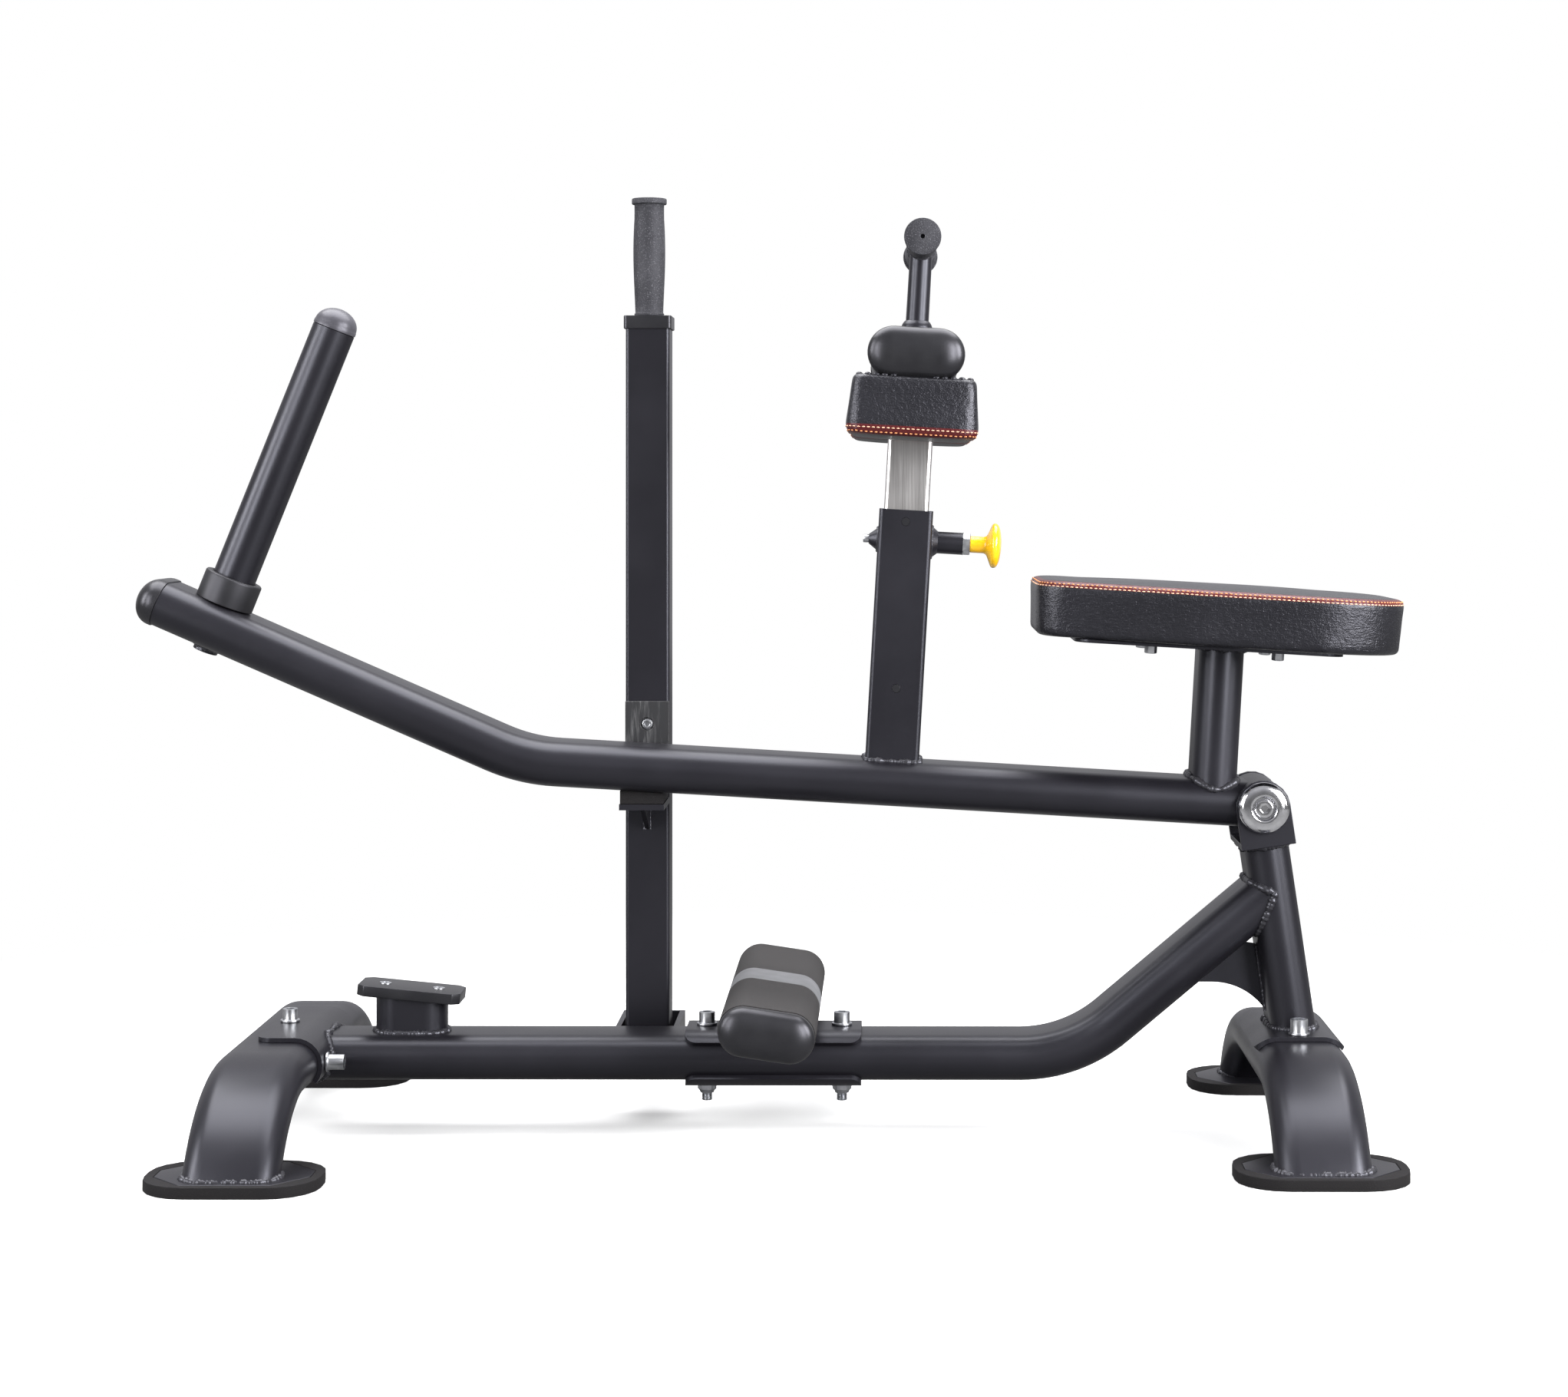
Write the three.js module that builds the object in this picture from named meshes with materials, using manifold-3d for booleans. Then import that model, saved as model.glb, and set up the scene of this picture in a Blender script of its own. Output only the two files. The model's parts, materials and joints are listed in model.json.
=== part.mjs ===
// Seated calf raise machine, plate loaded, in millimetres with +Z up.
// +X points to the rear, where the user sits facing -X. Y = 0 is the middle plane.
// The welded base carries a lever arm on a cross shaft under the seat. The arm holds the
// seat, the telescoping thigh pad post and the weight horn, and rests on the shelf of the
// catch post, which swings sideways to let it go.
import * as THREE from "three";
import { mergeVertices } from "three/addons/utils/BufferGeometryUtils.js";
import Module from "manifold-3d";

const wasm = await Module();
wasm.setup();

// Fits and fineness
const seatGap = 0.3; // between faces that touch
const cutOverrun = 4; // how far a cutter runs past the face it leaves
const weldTolerance = 1e-4; // vertices closer than this are one
const arcStep = 20; // degrees between two points of a round stretch
const bendStep = 10; // degrees between two sections of a bent tube
const roundSides = 20; // sides of a turned piece
const boltSides = 14;
const holeSides = 12;

// Flat-oval frame tube, used for the base, the arm, the legs, the footrest and the crossbar
const tubeWidth = 100;
const tubeHeight = 50;

// Base frame, from the middle of the front leg
const legSpacing = 1120;
const baseTubeHeight = 84; // its centreline above the floor
const diagonalAngle = 40;
const frameNodeDrop = 95.65; // from the pivot down the upright to the rising centreline
const diagonalBendRadius = 160;
const pivotSetback = 36.5; // the pivot ahead of the rear leg
const pivotHeight = 364.5;
const gussetThickness = 6;
const gussetStart = 134.3; // down the diagonal from the upright's axis
const gussetLevel = 22; // level edge before its arc
const gussetArcRadius = 72;
const gussetClipDiagonal = 64; // down the diagonal, where the corner is clipped
const gussetClipUpright = 60; // down the upright from the diagonal's axis

// Legs, each an arched tube on two plates
const legHeight = 88; // centreline of the level stretch
const legBendRadius = 180;
const frontLegLevel = 300; // straight stretch between the bends
const rearLegLevel = 224;
const footPlateLength = 160;
const footPlateDepth = 105;
const footPlateChamferX = 34;
const footPlateChamferY = 38;
const footPlateThickness = 6;
const footSetback = 17; // foot's middle inboard of the leg's end
const footLength = 182;
const footDepth = 125;
const footCorner = 52;
const footFloor = 6; // rubber under the plate
const footScrewRadius = 3;
const footScrewInset = 9; // from the plate's outer edge

// Saddle plates that hold the legs
const saddleThickness = 5;
const frontSaddleDepth = 200;
const frontSaddleOverlap = 17.5; // past the leg's middle
const frontSaddleWrap = 130; // degrees round the leg's inner side
const rearSaddleDepth = 180;
const rearSaddleWrap = 55;
const saddleCorner = 16; // seen from above

// Frame bolts, M12 with a washer
const frameBoltRadius = 6;
const frameBoltHeadRadius = 9;
const frameBoltHeadHeight = 12;
const frameWasherRadius = 11.5;
const frontBoltHeadRadius = 8.3;
const frontWasherRadius = 10.8;
const frontSideHeadHeight = 17;
const rearBoltHeadRadius = 9.5;
const rearBoltHeadHeight = 14.5;
const frameSocketRadius = 5;
const frameSocketDepth = 6;
const frameWasherThickness = 2.5;
const frameBoltReach = 30; // shank below the washer
const frontSideBoltOffset = 77; // from the middle plane
const rearBoltOffset = 76;

// Rubber bumper for the lowered arm
const bumperBack = 137; // from the front leg
const bumperTop = 159;
const bumperTilt = 5.5;
const bumperBlockLength = 80;
const bumperBlockWidth = 50;
const bumperPadLength = 115;
const bumperPadWidth = 62;
const bumperPadThickness = 12;
const bumperPadChamfer = 14;
const bumperBoltSpacing = 60;
const bumperCounterbore = 7.5;
const bumperCounterboreDepth = 7;

// Footrest and its clamp on the base tube
const footrestBack = 543;
const footrestLength = 426;
const footrestTilt = 8.5;
const footrestSink = 1; // weld depth of the tube in its clamp
const coverThickness = 1.6;
const coverInset = 2; // from each end of the tube
const coverWrap = 120; // degrees round each side from the top
const clampLength = 195;
const clampThickness = 6;
const clampWrap = 50;
const clampCorner = 16;
const clampBoltSpacing = 151;
const clampBoltTail = 10; // thread below the nut
const nutRadius = 10.4;
const nutHeight = 12;
const boreClearance = 0.4; // round a shank

// Moulded end caps of the flat-oval tubes
const capLip = 1.3; // proud of the tube
const capLipLength = 5;
const capDepth = 19;
const armCapDepth = 26;
const capTip = 1.2;

// Arm pivot
const pivotSleeveRadius = 29;
const pivotSleeveBore = 20;
const pivotShaftRadius = 15;
const pivotBushFlange = 2.5;
const pivotBushFlangeRadius = 27;
const pivotBushLength = 30;
const clevisThickness = 6.5;
const clevisRadius = 30;
const clevisDrop = 44; // underside of its base below the pivot
const pivotSideGap = 0.4;
const pivotCapRadius = 28.5;
const pivotCapHeight = 12;
const pivotCapRecess = 12.5;
const pivotCapRecessDepth = 7;

// Lever arm, along its own axis from the pivot
const restAngle = 3.3; // raised at the front while it rests on the catch
const armLevelReach = 820; // bend vertex ahead of the pivot
const armBendAngle = 20.2;
const armBendRadius = 200;
const armInclineLength = 441; // from the bend vertex to the tube's end

// Weight horn
const hornBack = 381; // from the bend vertex along the incline
const hornLean = 1.6; // nearer upright than square to the incline
const hornRadius = 24;
const hornLength = 331;
const hornCapDepth = 24;
const hornSpigotRadius = 14;
const hornSpigotReach = 7; // below the arm
const collarRadius = 32.5;
const collarHeight = 32;
const collarEdge = 1.5;

// Seat
const seatPostAhead = 52; // of the pivot
const seatPostWidth = 90;
const seatAhead = 61; // seat's middle ahead of the pivot
const seatPlateAhead = 73;
const seatUnderside = 176.5; // above the arm's axis
const seatPlateLength = 294;
const seatPlateWidth = 200;
const seatPlateThickness = 4;
const seatPlateCorner = 20;
const seatLength = 408;
const seatRearWidth = 308; // between its unrounded corners
const seatFrontWidth = 206;
const seatRearCorner = 96;
const seatFrontCorner = 38;
const seatThickness = 60;
const seatCrown = 7;
const seatDrawIn = 2.5; // sides pull in towards the base
const seatEdge = 4; // rounding of the bottom edge

// Thigh pad post: the sleeve on the arm
const kneePostAhead = 411;
const sleeveSize = 60;
const sleeveWall = 3;
const sleeveCorner = 5;
const sleeveTop = 304.5;
const bushGap = 0.4; // between the guide bush and the sliding post
const upperBushLength = 60;
const lowerBushLength = 40;
const lowerBushBottom = 86;
const pipRadius = 4.6;
const upperPipDrop = 13; // below the sleeve's top
const pinHeight = 270;
const pinBossRadius = 18;
const pinBarrelRadius = 12.3;
const pinBossFlare = 7;
const pinBarrelLength = 36;
const pinBarrelBore = 8;
const pinNutRadius = 12;
const pinNutLength = 7;
const stopBossRadius = 13;
const stopBossTip = 5.5;
const stopBossLength = 10;
const stopScrewRadius = 4;
const stopScrewReach = 6;

// Pull pin
const pinRadius = 5;
const pinCollarRadius = 7.6;
const pinCollarLength = 3;
const pinNoseGap = 0.5; // between the parked nose and the sliding post
const pinStemRadius = 9.2;
const pinStemLength = 17;
const pinKnobRadius = 25;
const pinKnobLength = 18;

// Thigh pad carriage
const postSize = 50;
const postWall = 2.5;
const postCorner = 5;
const postBottom = 92; // above the arm's axis
const pinHolePitch = 30;
const pinHolesBelow = 3;
const pinHolesAbove = 2;
const crossbarHeight = 470; // above the arm's axis
const crossbarLength = 426;
const padWidth = 142;
const padThickness = 60.7;
const padInner = 33;
const padOuter = 238;
const padCorner = 18;
const padCrown = 5;
const padDrawIn = 4.5;
const padEdge = 4;
const padPlateThickness = 4;
const padPlateInset = 14; // inside the pad's outline
const padPlateWeld = 0.5; // its depth in the crossbar
const handleTubeRadius = 12.5;
const handleWeldRadius = 14;
const handleWeldHeight = 5;
const handleRise = 104; // bar's centre above the crossbar
const handleBarHalf = 139;
const handleGripInner = 30;
const handleGripOuter = 145;
const gripRadius = 17;
const gripBulge = 18.3;
const gripFootStep = 3; // its neck over the tube
const gripFlangeRadius = 20;
const gripFlangeLength = 7;
const gripVentRadius = 2.4;

// Catch post
const catchBack = 396; // from the front leg
const catchPostSize = 50;
const catchPostCorner = 4;
const catchPostTop = 909;
const catchPostFoot = 18; // below its pivot
const wearPlateThickness = 4.5;
const wearPlateClearance = 0.8; // to the side of the arm
const wearPlateRise = 7; // its foot above the arm's underside
const wearPlateLength = 88;
const wearScrewDrop = 26; // below the plate's top
const wearScrewRadius = 7.6;
const wearScrewDepth = 2.5;
const catchPivotHeight = 80;
const catchBoltRadius = 8;
const catchBoltHeadRadius = 12;
const catchBoltHeadLength = 8;
const catchEarGap = 5;
const catchEarThickness = 6;
const catchSwingRoom = 47; // behind the post
const bracketTop = 104;
const bracketBottom = 60;
const shelfThickness = 6.5;
const shelfAhead = 25; // shelf's near edge in front of the middle plane
const shelfFinThickness = 5;
const shelfFinHeight = 30;
const cushionThickness = 12.6; // at its thin, rear edge
const cushionInset = 1;
const catchCapSize = 54.5;
const catchCapHeight = 15;
const catchCapTop = 4;
const catchRodRadius = 8;
const catchGripLength = 135;
const catchGripSocket = 115;
const catchGripBase = 16;

// Derived places
const radians = THREE.MathUtils.degToRad;
const tubeRadius = tubeHeight / 2;
const tubeFlat = (tubeWidth - tubeHeight) / 2; // half of the flat stretch
const pivotBack = legSpacing - pivotSetback;
const saddleTop = legHeight + tubeRadius + seatGap + saddleThickness;
const uprightLean = Math.atan2(pivotSetback, pivotHeight - saddleTop);
const footTop = footFloor + seatGap + footPlateThickness;
const saddleRadius = tubeRadius + seatGap + saddleThickness;
const clampRadius = tubeRadius + seatGap + clampThickness;
const clampFace = baseTubeHeight + clampRadius;
const catchPostY =
  tubeWidth / 2 + wearPlateClearance + wearPlateThickness + seatGap + catchPostSize / 2;
const clevisInner = tubeWidth / 2 + pivotSideGap;
const handleHeight = crossbarHeight + tubeRadius + handleRise; // above the arm's axis
const armUnderside = (x) =>
  pivotHeight +
  (pivotBack - x) * Math.tan(radians(restAngle)) -
  tubeRadius / Math.cos(radians(restAngle));
const cushionEnd = catchPostSize / 2 - cushionInset;
const shelfTop = armUnderside(catchBack + cushionEnd) - cushionThickness - 2 * seatGap;
const shelfBottom = shelfTop - shelfThickness;
const wearPlateBottom = armUnderside(catchBack) + wearPlateRise;
const wearPlateTop = wearPlateBottom + wearPlateLength;

// Finishes
const finish = (color, roughness, metalness) =>
  new THREE.MeshStandardMaterial({ color, roughness, metalness });
const blackPaint = finish(0x35353a, 0.5, 0.1);
const blackPlastic = finish(0x2c2c2f, 0.45, 0);
const rubber = finish(0x201e1d, 0.8, 0);
const gripRubber = finish(0x4a4a4f, 0.85, 0);
const leather = finish(0x1b1b1d, 0.45, 0);
const steel = finish(0xb9b5b3, 0.35, 0.9);
const chrome = finish(0xd8d8da, 0.1, 1);
const zinc = finish(0xc4c4c6, 0.3, 0.9);
const yellowPlastic = finish(0xffc81e, 0.3, 0);
const bronze = finish(0xa5793c, 0.4, 0.8);

const xAxis = new THREE.Vector3(1, 0, 0);
const yAxis = new THREE.Vector3(0, 1, 0);
const zAxis = new THREE.Vector3(0, 0, 1);

// A closed geometry as a solid that can be joined and cut, its faces turned outwards.
function solidOf(geometry) {
  const loose = geometry.index ? geometry.toNonIndexed() : geometry;
  const bare = new THREE.BufferGeometry().setAttribute("position", loose.getAttribute("position"));
  const merged = mergeVertices(bare, weldTolerance);
  const corners = Array.from(merged.index.array);
  const triangles = [];
  for (let i = 0; i < corners.length; i += 3) {
    const [a, b, c] = corners.slice(i, i + 3);
    if (a !== b && b !== c && c !== a) triangles.push([a, b, c]);
  }
  const build = (faces) =>
    new wasm.Manifold(
      new wasm.Mesh({
        numProp: 3,
        vertProperties: merged.getAttribute("position").array,
        triVerts: new Uint32Array(faces.flat()),
      }),
    );
  const made = build(triangles);
  return made.volume() < 0 ? build(triangles.map(([a, b, c]) => [a, c, b])) : made;
}

function geometryOf(solid) {
  const mesh = solid.getMesh();
  return new THREE.BufferGeometry()
    .setAttribute("position", new THREE.BufferAttribute(mesh.vertProperties, 3))
    .setIndex(new THREE.BufferAttribute(mesh.triVerts, 1));
}

const cut = (whole, ...tools) =>
  geometryOf(tools.reduce((solid, tool) => solid.subtract(solidOf(tool)), solidOf(whole)));
const join = (first, ...others) =>
  geometryOf(others.reduce((solid, other) => solid.add(solidOf(other)), solidOf(first)));

// A named mesh of one closed body.
function piece(name, geometry, material) {
  const mesh = new THREE.Mesh(geometryOf(solidOf(geometry)), material);
  mesh.name = name;
  return mesh;
}

function group(...children) {
  const made = new THREE.Group();
  made.add(...children);
  return made;
}

// Outlines, as lists of 2D points
const rectangle = (width, height) => [
  [-width / 2, -height / 2],
  [width / 2, -height / 2],
  [width / 2, height / 2],
  [-width / 2, height / 2],
];

function chamferedRectangle(width, height, alongX, alongY) {
  const [x, y] = [width / 2, height / 2];
  return [
    [-x + alongX, -y],
    [x - alongX, -y],
    [x, -y + alongY],
    [x, y - alongY],
    [x - alongX, y],
    [-x + alongX, y],
    [-x, y - alongY],
    [-x, -y + alongY],
  ];
}

// The outline through corners, each rounded to its radius.
function roundedOutline(corners, radii, stepDegrees = arcStep) {
  const vectors = corners.map(([x, y]) => new THREE.Vector2(x, y));
  return vectors.flatMap((corner, i) => {
    const radius = Array.isArray(radii) ? radii[i] : radii;
    const back = vectors.at(i - 1).clone().sub(corner).normalize();
    const ahead = vectors[(i + 1) % vectors.length].clone().sub(corner).normalize();
    const half = Math.acos(THREE.MathUtils.clamp(back.dot(ahead), -1, 1)) / 2;
    const centre = back.clone().add(ahead).normalize();
    centre.multiplyScalar(radius / Math.sin(half)).add(corner);
    const start = back.clone().multiplyScalar(radius / Math.tan(half)).add(corner).sub(centre);
    const turn = (Math.PI - 2 * half) * Math.sign(ahead.cross(back));
    const steps = Math.ceil(Math.abs(turn) / radians(stepDegrees));
    return Array.from({ length: steps + 1 }, (_, k) => {
      const point = start.clone().rotateAround(new THREE.Vector2(), (turn * k) / steps);
      return [point.x + centre.x, point.y + centre.y];
    });
  });
}

// The flat-oval outline: two half circles joined by straights along the longer side.
function ovalOutline(width, height) {
  const radius = Math.min(width, height) / 2;
  const steps = Math.round(180 / arcStep);
  const flat = Math.max(width, height) / 2 - radius;
  const wide = width > height;
  return [1, -1].flatMap((side) =>
    Array.from({ length: steps + 1 }, (_, k) => {
      const angle = Math.PI * (k / steps - 0.5) + (side > 0 ? 0 : Math.PI);
      const along = side * flat + radius * Math.cos(angle);
      const across = radius * Math.sin(angle);
      return wide ? [along, across] : [-across, along];
    }),
  );
}

// A band of even thickness over a flat-oval side: level for `flat` each way where it has a wrap
// there, then round the tube by that many degrees. Drawn with the tube's centre at zero.
function saddleOutline(inner, thickness, flat, wraps) {
  const shape = new THREE.Shape();
  const outer = inner + thickness;
  const top = Math.PI / 2;
  const [left, right] = wraps;
  const rightEnd = top - radians(right.wrap);
  if (left.wrap) {
    const leftEnd = top + radians(left.wrap);
    shape.absarc(-flat, 0, outer, leftEnd, top, true);
    shape.absarc(flat, 0, outer, top, rightEnd, true);
    shape.absarc(flat, 0, inner, rightEnd, top, false);
    shape.absarc(-flat, 0, inner, top, leftEnd, false);
  } else {
    shape.moveTo(-left.overlap, outer);
    shape.lineTo(flat, outer);
    shape.absarc(flat, 0, outer, top, rightEnd, true);
    shape.absarc(flat, 0, inner, rightEnd, top, false);
    shape.lineTo(-left.overlap, inner);
  }
  return shape;
}

const shapeOf = (points) => new THREE.Shape(points.map(([x, y]) => new THREE.Vector2(x, y)));

// A prism of an outline drawn square to the axis: (y, z) for x, (x, z) for y and (x, y) for z.
function prism(axis, outline, from, to) {
  const shape = Array.isArray(outline) ? shapeOf(outline) : outline;
  const depth = to - from;
  const made = new THREE.ExtrudeGeometry(shape, { depth, bevelEnabled: false, curveSegments: 5 });
  const frame = new THREE.Matrix4();
  if (axis === "x") frame.makeBasis(yAxis, zAxis, xAxis).setPosition(from, 0, 0);
  if (axis === "y") frame.makeBasis(xAxis, zAxis, yAxis.clone().negate()).setPosition(0, to, 0);
  if (axis === "z") frame.setPosition(0, 0, from);
  return made.applyMatrix4(frame);
}

function block(low, high) {
  const size = high.map((value, i) => value - low[i]);
  const middle = high.map((value, i) => (value + low[i]) / 2);
  return new THREE.BoxGeometry(...size).translate(...middle);
}

// Turned about an axis through zero, from [radius, place along the axis] pairs.
function turned(axis, profile, sides = roundSides) {
  const points = profile.map(([radius, along]) => new THREE.Vector2(radius, along));
  const made = new THREE.LatheGeometry(points, sides);
  if (axis === "x") made.rotateZ(-Math.PI / 2);
  if (axis === "z") made.rotateX(Math.PI / 2);
  return made;
}

const rod = (axis, radius, from, to, sides) =>
  turned(axis, [[0, from], [radius, from], [radius, to], [0, to]], sides);

// A ring-shaped piece has a closed profile, so its last point repeats the first.
const ring = (axis, inner, outer, from, to, sides) =>
  turned(axis, [[inner, from], [outer, from], [outer, to], [inner, to], [inner, from]], sides);

// A closed skin through rings of points, its two ends filled.
function loft(rings) {
  const count = rings[0].length;
  const index = [];
  for (let r = 0; r + 1 < rings.length; r += 1) {
    for (let i = 0; i < count; i += 1) {
      const a = r * count + i;
      const b = r * count + ((i + 1) % count);
      index.push(a, b, b + count, a, b + count, a + count);
    }
  }
  const last = (rings.length - 1) * count;
  for (let i = 1; i + 1 < count; i += 1) {
    index.push(0, i + 1, i, last, last + i, last + i + 1);
  }
  return new THREE.BufferGeometry().setFromPoints(rings.flat()).setIndex(index);
}

// Sections of a tube whose bends all turn about `across`; a run is a length or a bend.
function stationsAlong(start, heading, across, runs) {
  const point = start.clone();
  const forward = heading.clone();
  const stations = [];
  const mark = () => {
    const up = new THREE.Vector3().crossVectors(forward, across);
    stations.push({ point: point.clone(), across, up });
  };
  mark();
  for (const run of runs) {
    const steps = run.angle ? Math.ceil(Math.abs(run.angle) / bendStep) : 1;
    const turn = radians(run.angle ?? 0) / steps;
    const chord = run.angle ? 2 * run.radius * Math.sin(Math.abs(turn) / 2) : run.length;
    for (let k = 0; k < steps; k += 1) {
      forward.applyAxisAngle(across, turn / 2);
      point.addScaledVector(forward, chord);
      forward.applyAxisAngle(across, turn / 2);
      mark();
    }
  }
  return stations;
}

const sweep = (outline, stations) =>
  loft(
    stations.map(({ point, across, up }) =>
      outline.map(([u, v]) => point.clone().addScaledVector(across, u).addScaledVector(up, v)),
    ),
  );

// A domed cap on the end of a flat-oval tube, standing on z = 0 with the tube below it.
function ovalCap(depth) {
  const steps = 5;
  const [width, height] = [tubeWidth + 2 * capLip, tubeHeight + 2 * capLip];
  const at = (inset, z) =>
    ovalOutline(width - 2 * inset, height - 2 * inset).map(([x, y]) => new THREE.Vector3(x, y, z));
  const dome = Array.from({ length: steps + 1 }, (_, k) => {
    const angle = ((k / steps) * Math.PI) / 2;
    const inset = (height / 2 - capTip) * (1 - Math.cos(angle));
    return at(inset, capLipLength + (depth - capLipLength) * Math.sin(angle));
  });
  return loft([at(0, seatGap), ...dome]);
}

// A cushion over a plan outline: rounded lower edge, sides drawn in towards the base and a
// crowned face. It stands on z = 0 with its crown at `thickness + crown`.
function cushion(plan, thickness, crown, drawIn, edge) {
  const crownShares = [0.86, 0.6, 0.3, 0.08];
  const sideShares = [0.25, 0.5, 0.75, 1];
  const edgeSteps = 3;
  const reach = Math.max(...plan.flat().map(Math.abs));
  const at = (inset, z) =>
    plan.map(([x, y]) => {
      const scale = 1 - inset / reach;
      return new THREE.Vector3(x * scale, y * scale, z);
    });
  const lower = Array.from({ length: edgeSteps + 1 }, (_, k) => {
    const angle = ((k / edgeSteps) * Math.PI) / 2;
    return at(drawIn + edge * (1 - Math.sin(angle)), edge * (1 - Math.cos(angle)));
  });
  const sides = sideShares.map((share) =>
    at(drawIn * (1 - share) ** 2, edge + share * (thickness - 2 * edge)),
  );
  const shoulder = at(edge / 2, thickness);
  const face = crownShares.map((share) => {
    const z = thickness + crown * (1 - share * share);
    return plan.map(([x, y]) => new THREE.Vector3(x * share, y * share, z));
  });
  return loft([...lower, ...sides, shoulder, ...face]);
}

// A socket head bolt on the z axis, its washer standing on z = 0 and its shank below.
function socketBolt(reach, sizes = {}) {
  const {
    radius = frameBoltHeadRadius,
    height = frameBoltHeadHeight,
    washer = frameWasherRadius,
  } = sizes;
  const headBase = frameWasherThickness;
  const headTop = headBase + height;
  const profile = [
    [0, -reach],
    [frameBoltRadius, -reach],
    [frameBoltRadius, 0],
    [washer, 0],
    [washer, headBase],
    [radius, headBase],
    [radius, headTop],
    [frameSocketRadius, headTop],
    [frameSocketRadius, headTop - frameSocketDepth],
    [0, headTop - frameSocketDepth],
  ];
  return turned("z", profile, boltSides);
}

// A hand grip turned about z with a blind bore from its foot and a flange at its top.
function handGrip(length, bore, boreDepth, foot, vent) {
  const bulgeShares = [0, 0.15, 0.35, 0.55, 0.8, 1];
  const body = length - gripFlangeLength - foot.length;
  const waist = bulgeShares.map((share) => {
    const swell = Math.sin(Math.PI * share ** 1.2) * (gripBulge - foot.waist);
    const taper = (gripRadius - foot.waist) * share;
    return [foot.waist + Math.max(swell, taper), foot.length + body * share];
  });
  const top = vent
    ? [[gripFlangeRadius, length], [vent, length], [vent, boreDepth], [bore, boreDepth]]
    : [[gripFlangeRadius, length], [0, length], [0, boreDepth], [bore, boreDepth]];
  const outside = [
    [bore, 0],
    [foot.radius, 0],
    [foot.radius, foot.length],
    ...waist,
    [gripFlangeRadius, length - gripFlangeLength],
  ];
  return turned("z", [...outside, ...top, [bore, 0]]);
}

// The base tube: level from the front leg, then rising to the upright.
const uprightFoot = new THREE.Vector2(legSpacing, saddleTop);
const pivotPoint = new THREE.Vector2(pivotBack, pivotHeight);
const uprightDirection = pivotPoint.clone().sub(uprightFoot).normalize();
const diagonalDirection = new THREE.Vector2(
  Math.cos(radians(diagonalAngle)),
  Math.sin(radians(diagonalAngle)),
);
const frameNode = pivotPoint.clone().addScaledVector(uprightDirection, -frameNodeDrop);
const diagonalStart = frameNode
  .clone()
  .addScaledVector(diagonalDirection, (baseTubeHeight - frameNode.y) / diagonalDirection.y);

const frameTube = ovalOutline(tubeHeight, tubeWidth).map(([height, width]) => [width, height]);
const grownTube = (gap) =>
  ovalOutline(tubeHeight + 2 * gap, tubeWidth + 2 * gap).map(([height, width]) => [width, height]);

// The upright's solid in the part's frame, grown by a gap and from a height below the pivot.
function uprightTube(gap, below, above) {
  const outline = ovalOutline(tubeHeight + 2 * gap, tubeWidth + 2 * gap);
  return prism("z", outline, -below, above)
    .rotateY(-uprightLean)
    .translate(pivotBack, 0, pivotHeight);
}

function baseTube() {
  const tangent = diagonalBendRadius * Math.tan(radians(diagonalAngle / 2));
  const start = tubeFlat;
  const rise = frameNode.distanceTo(diagonalStart) - tangent;
  const tube = sweep(
    frameTube,
    stationsAlong(new THREE.Vector3(start, 0, baseTubeHeight), xAxis, yAxis, [
      { length: diagonalStart.x - tangent - start },
      { angle: -diagonalAngle, radius: diagonalBendRadius },
      { length: rise },
    ]),
  );
  const nose = rod("y", saddleRadius + seatGap, -tubeWidth, tubeWidth, 2 * roundSides);
  const boltHole = rod(
    "z",
    frameBoltRadius + boreClearance,
    baseTubeHeight - tubeHeight,
    baseTubeHeight + tubeHeight,
    boltSides,
  );
  const boltHoles = [-1, 1].map((side) =>
    boltHole.clone().translate(footrestBack + (side * clampBoltSpacing) / 2, 0, 0),
  );
  return cut(
    tube,
    nose.translate(tubeFlat, 0, legHeight),
    uprightTube(seatGap, pivotHeight, tubeHeight),
    ...boltHoles,
  );
}

function rearUpright() {
  const tube = uprightTube(0, pivotHeight, -clevisDrop - seatGap);
  const floor = block(
    [pivotBack - legSpacing, -tubeWidth, -pivotHeight],
    [legSpacing + tubeWidth * 2, tubeWidth, saddleTop + seatGap],
  );
  return cut(tube, floor);
}

// The gusset fills the corner under the diagonal, with a concave lower edge and a clipped tip.
function frameGusset() {
  const offset = tubeRadius + seatGap;
  const below = new THREE.Vector2(diagonalDirection.y, -diagonalDirection.x);
  const ahead = new THREE.Vector2(-uprightDirection.y, uprightDirection.x);
  const onDiagonal = (along) =>
    frameNode
      .clone()
      .addScaledVector(diagonalDirection, -along)
      .addScaledVector(below, offset);
  const onUpright = (drop) =>
    frameNode.clone().addScaledVector(uprightDirection, -drop).addScaledVector(ahead, offset);
  const start = onDiagonal(gussetStart);
  const centre = new THREE.Vector2(start.x + gussetLevel, start.y - gussetArcRadius);
  const face = onUpright(0);
  const toFace = face.clone().sub(centre);
  const along = toFace.dot(uprightDirection);
  const beside = toFace.dot(ahead);
  const reach = Math.sqrt(gussetArcRadius ** 2 - beside ** 2);
  const end = face.clone().addScaledVector(uprightDirection, reach - along);
  const endAngle = end.clone().sub(centre).angle();
  const shape = new THREE.Shape();
  shape.moveTo(start.x, start.y);
  shape.lineTo(centre.x, start.y);
  shape.absarc(centre.x, centre.y, gussetArcRadius, Math.PI / 2, endAngle, true);
  const clipLow = onUpright(gussetClipUpright);
  const clipHigh = onDiagonal(gussetClipDiagonal);
  shape.lineTo(clipLow.x, clipLow.y);
  shape.lineTo(clipHigh.x, clipHigh.y);
  return prism("y", shape, -gussetThickness / 2, gussetThickness / 2);
}

// Where a leg's centreline comes down on its foot plate, from the middle plane.
function legReach(level) {
  const drop = footTop - (legHeight - legBendRadius);
  return level / 2 + Math.sqrt(legBendRadius ** 2 - drop ** 2);
}

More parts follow.
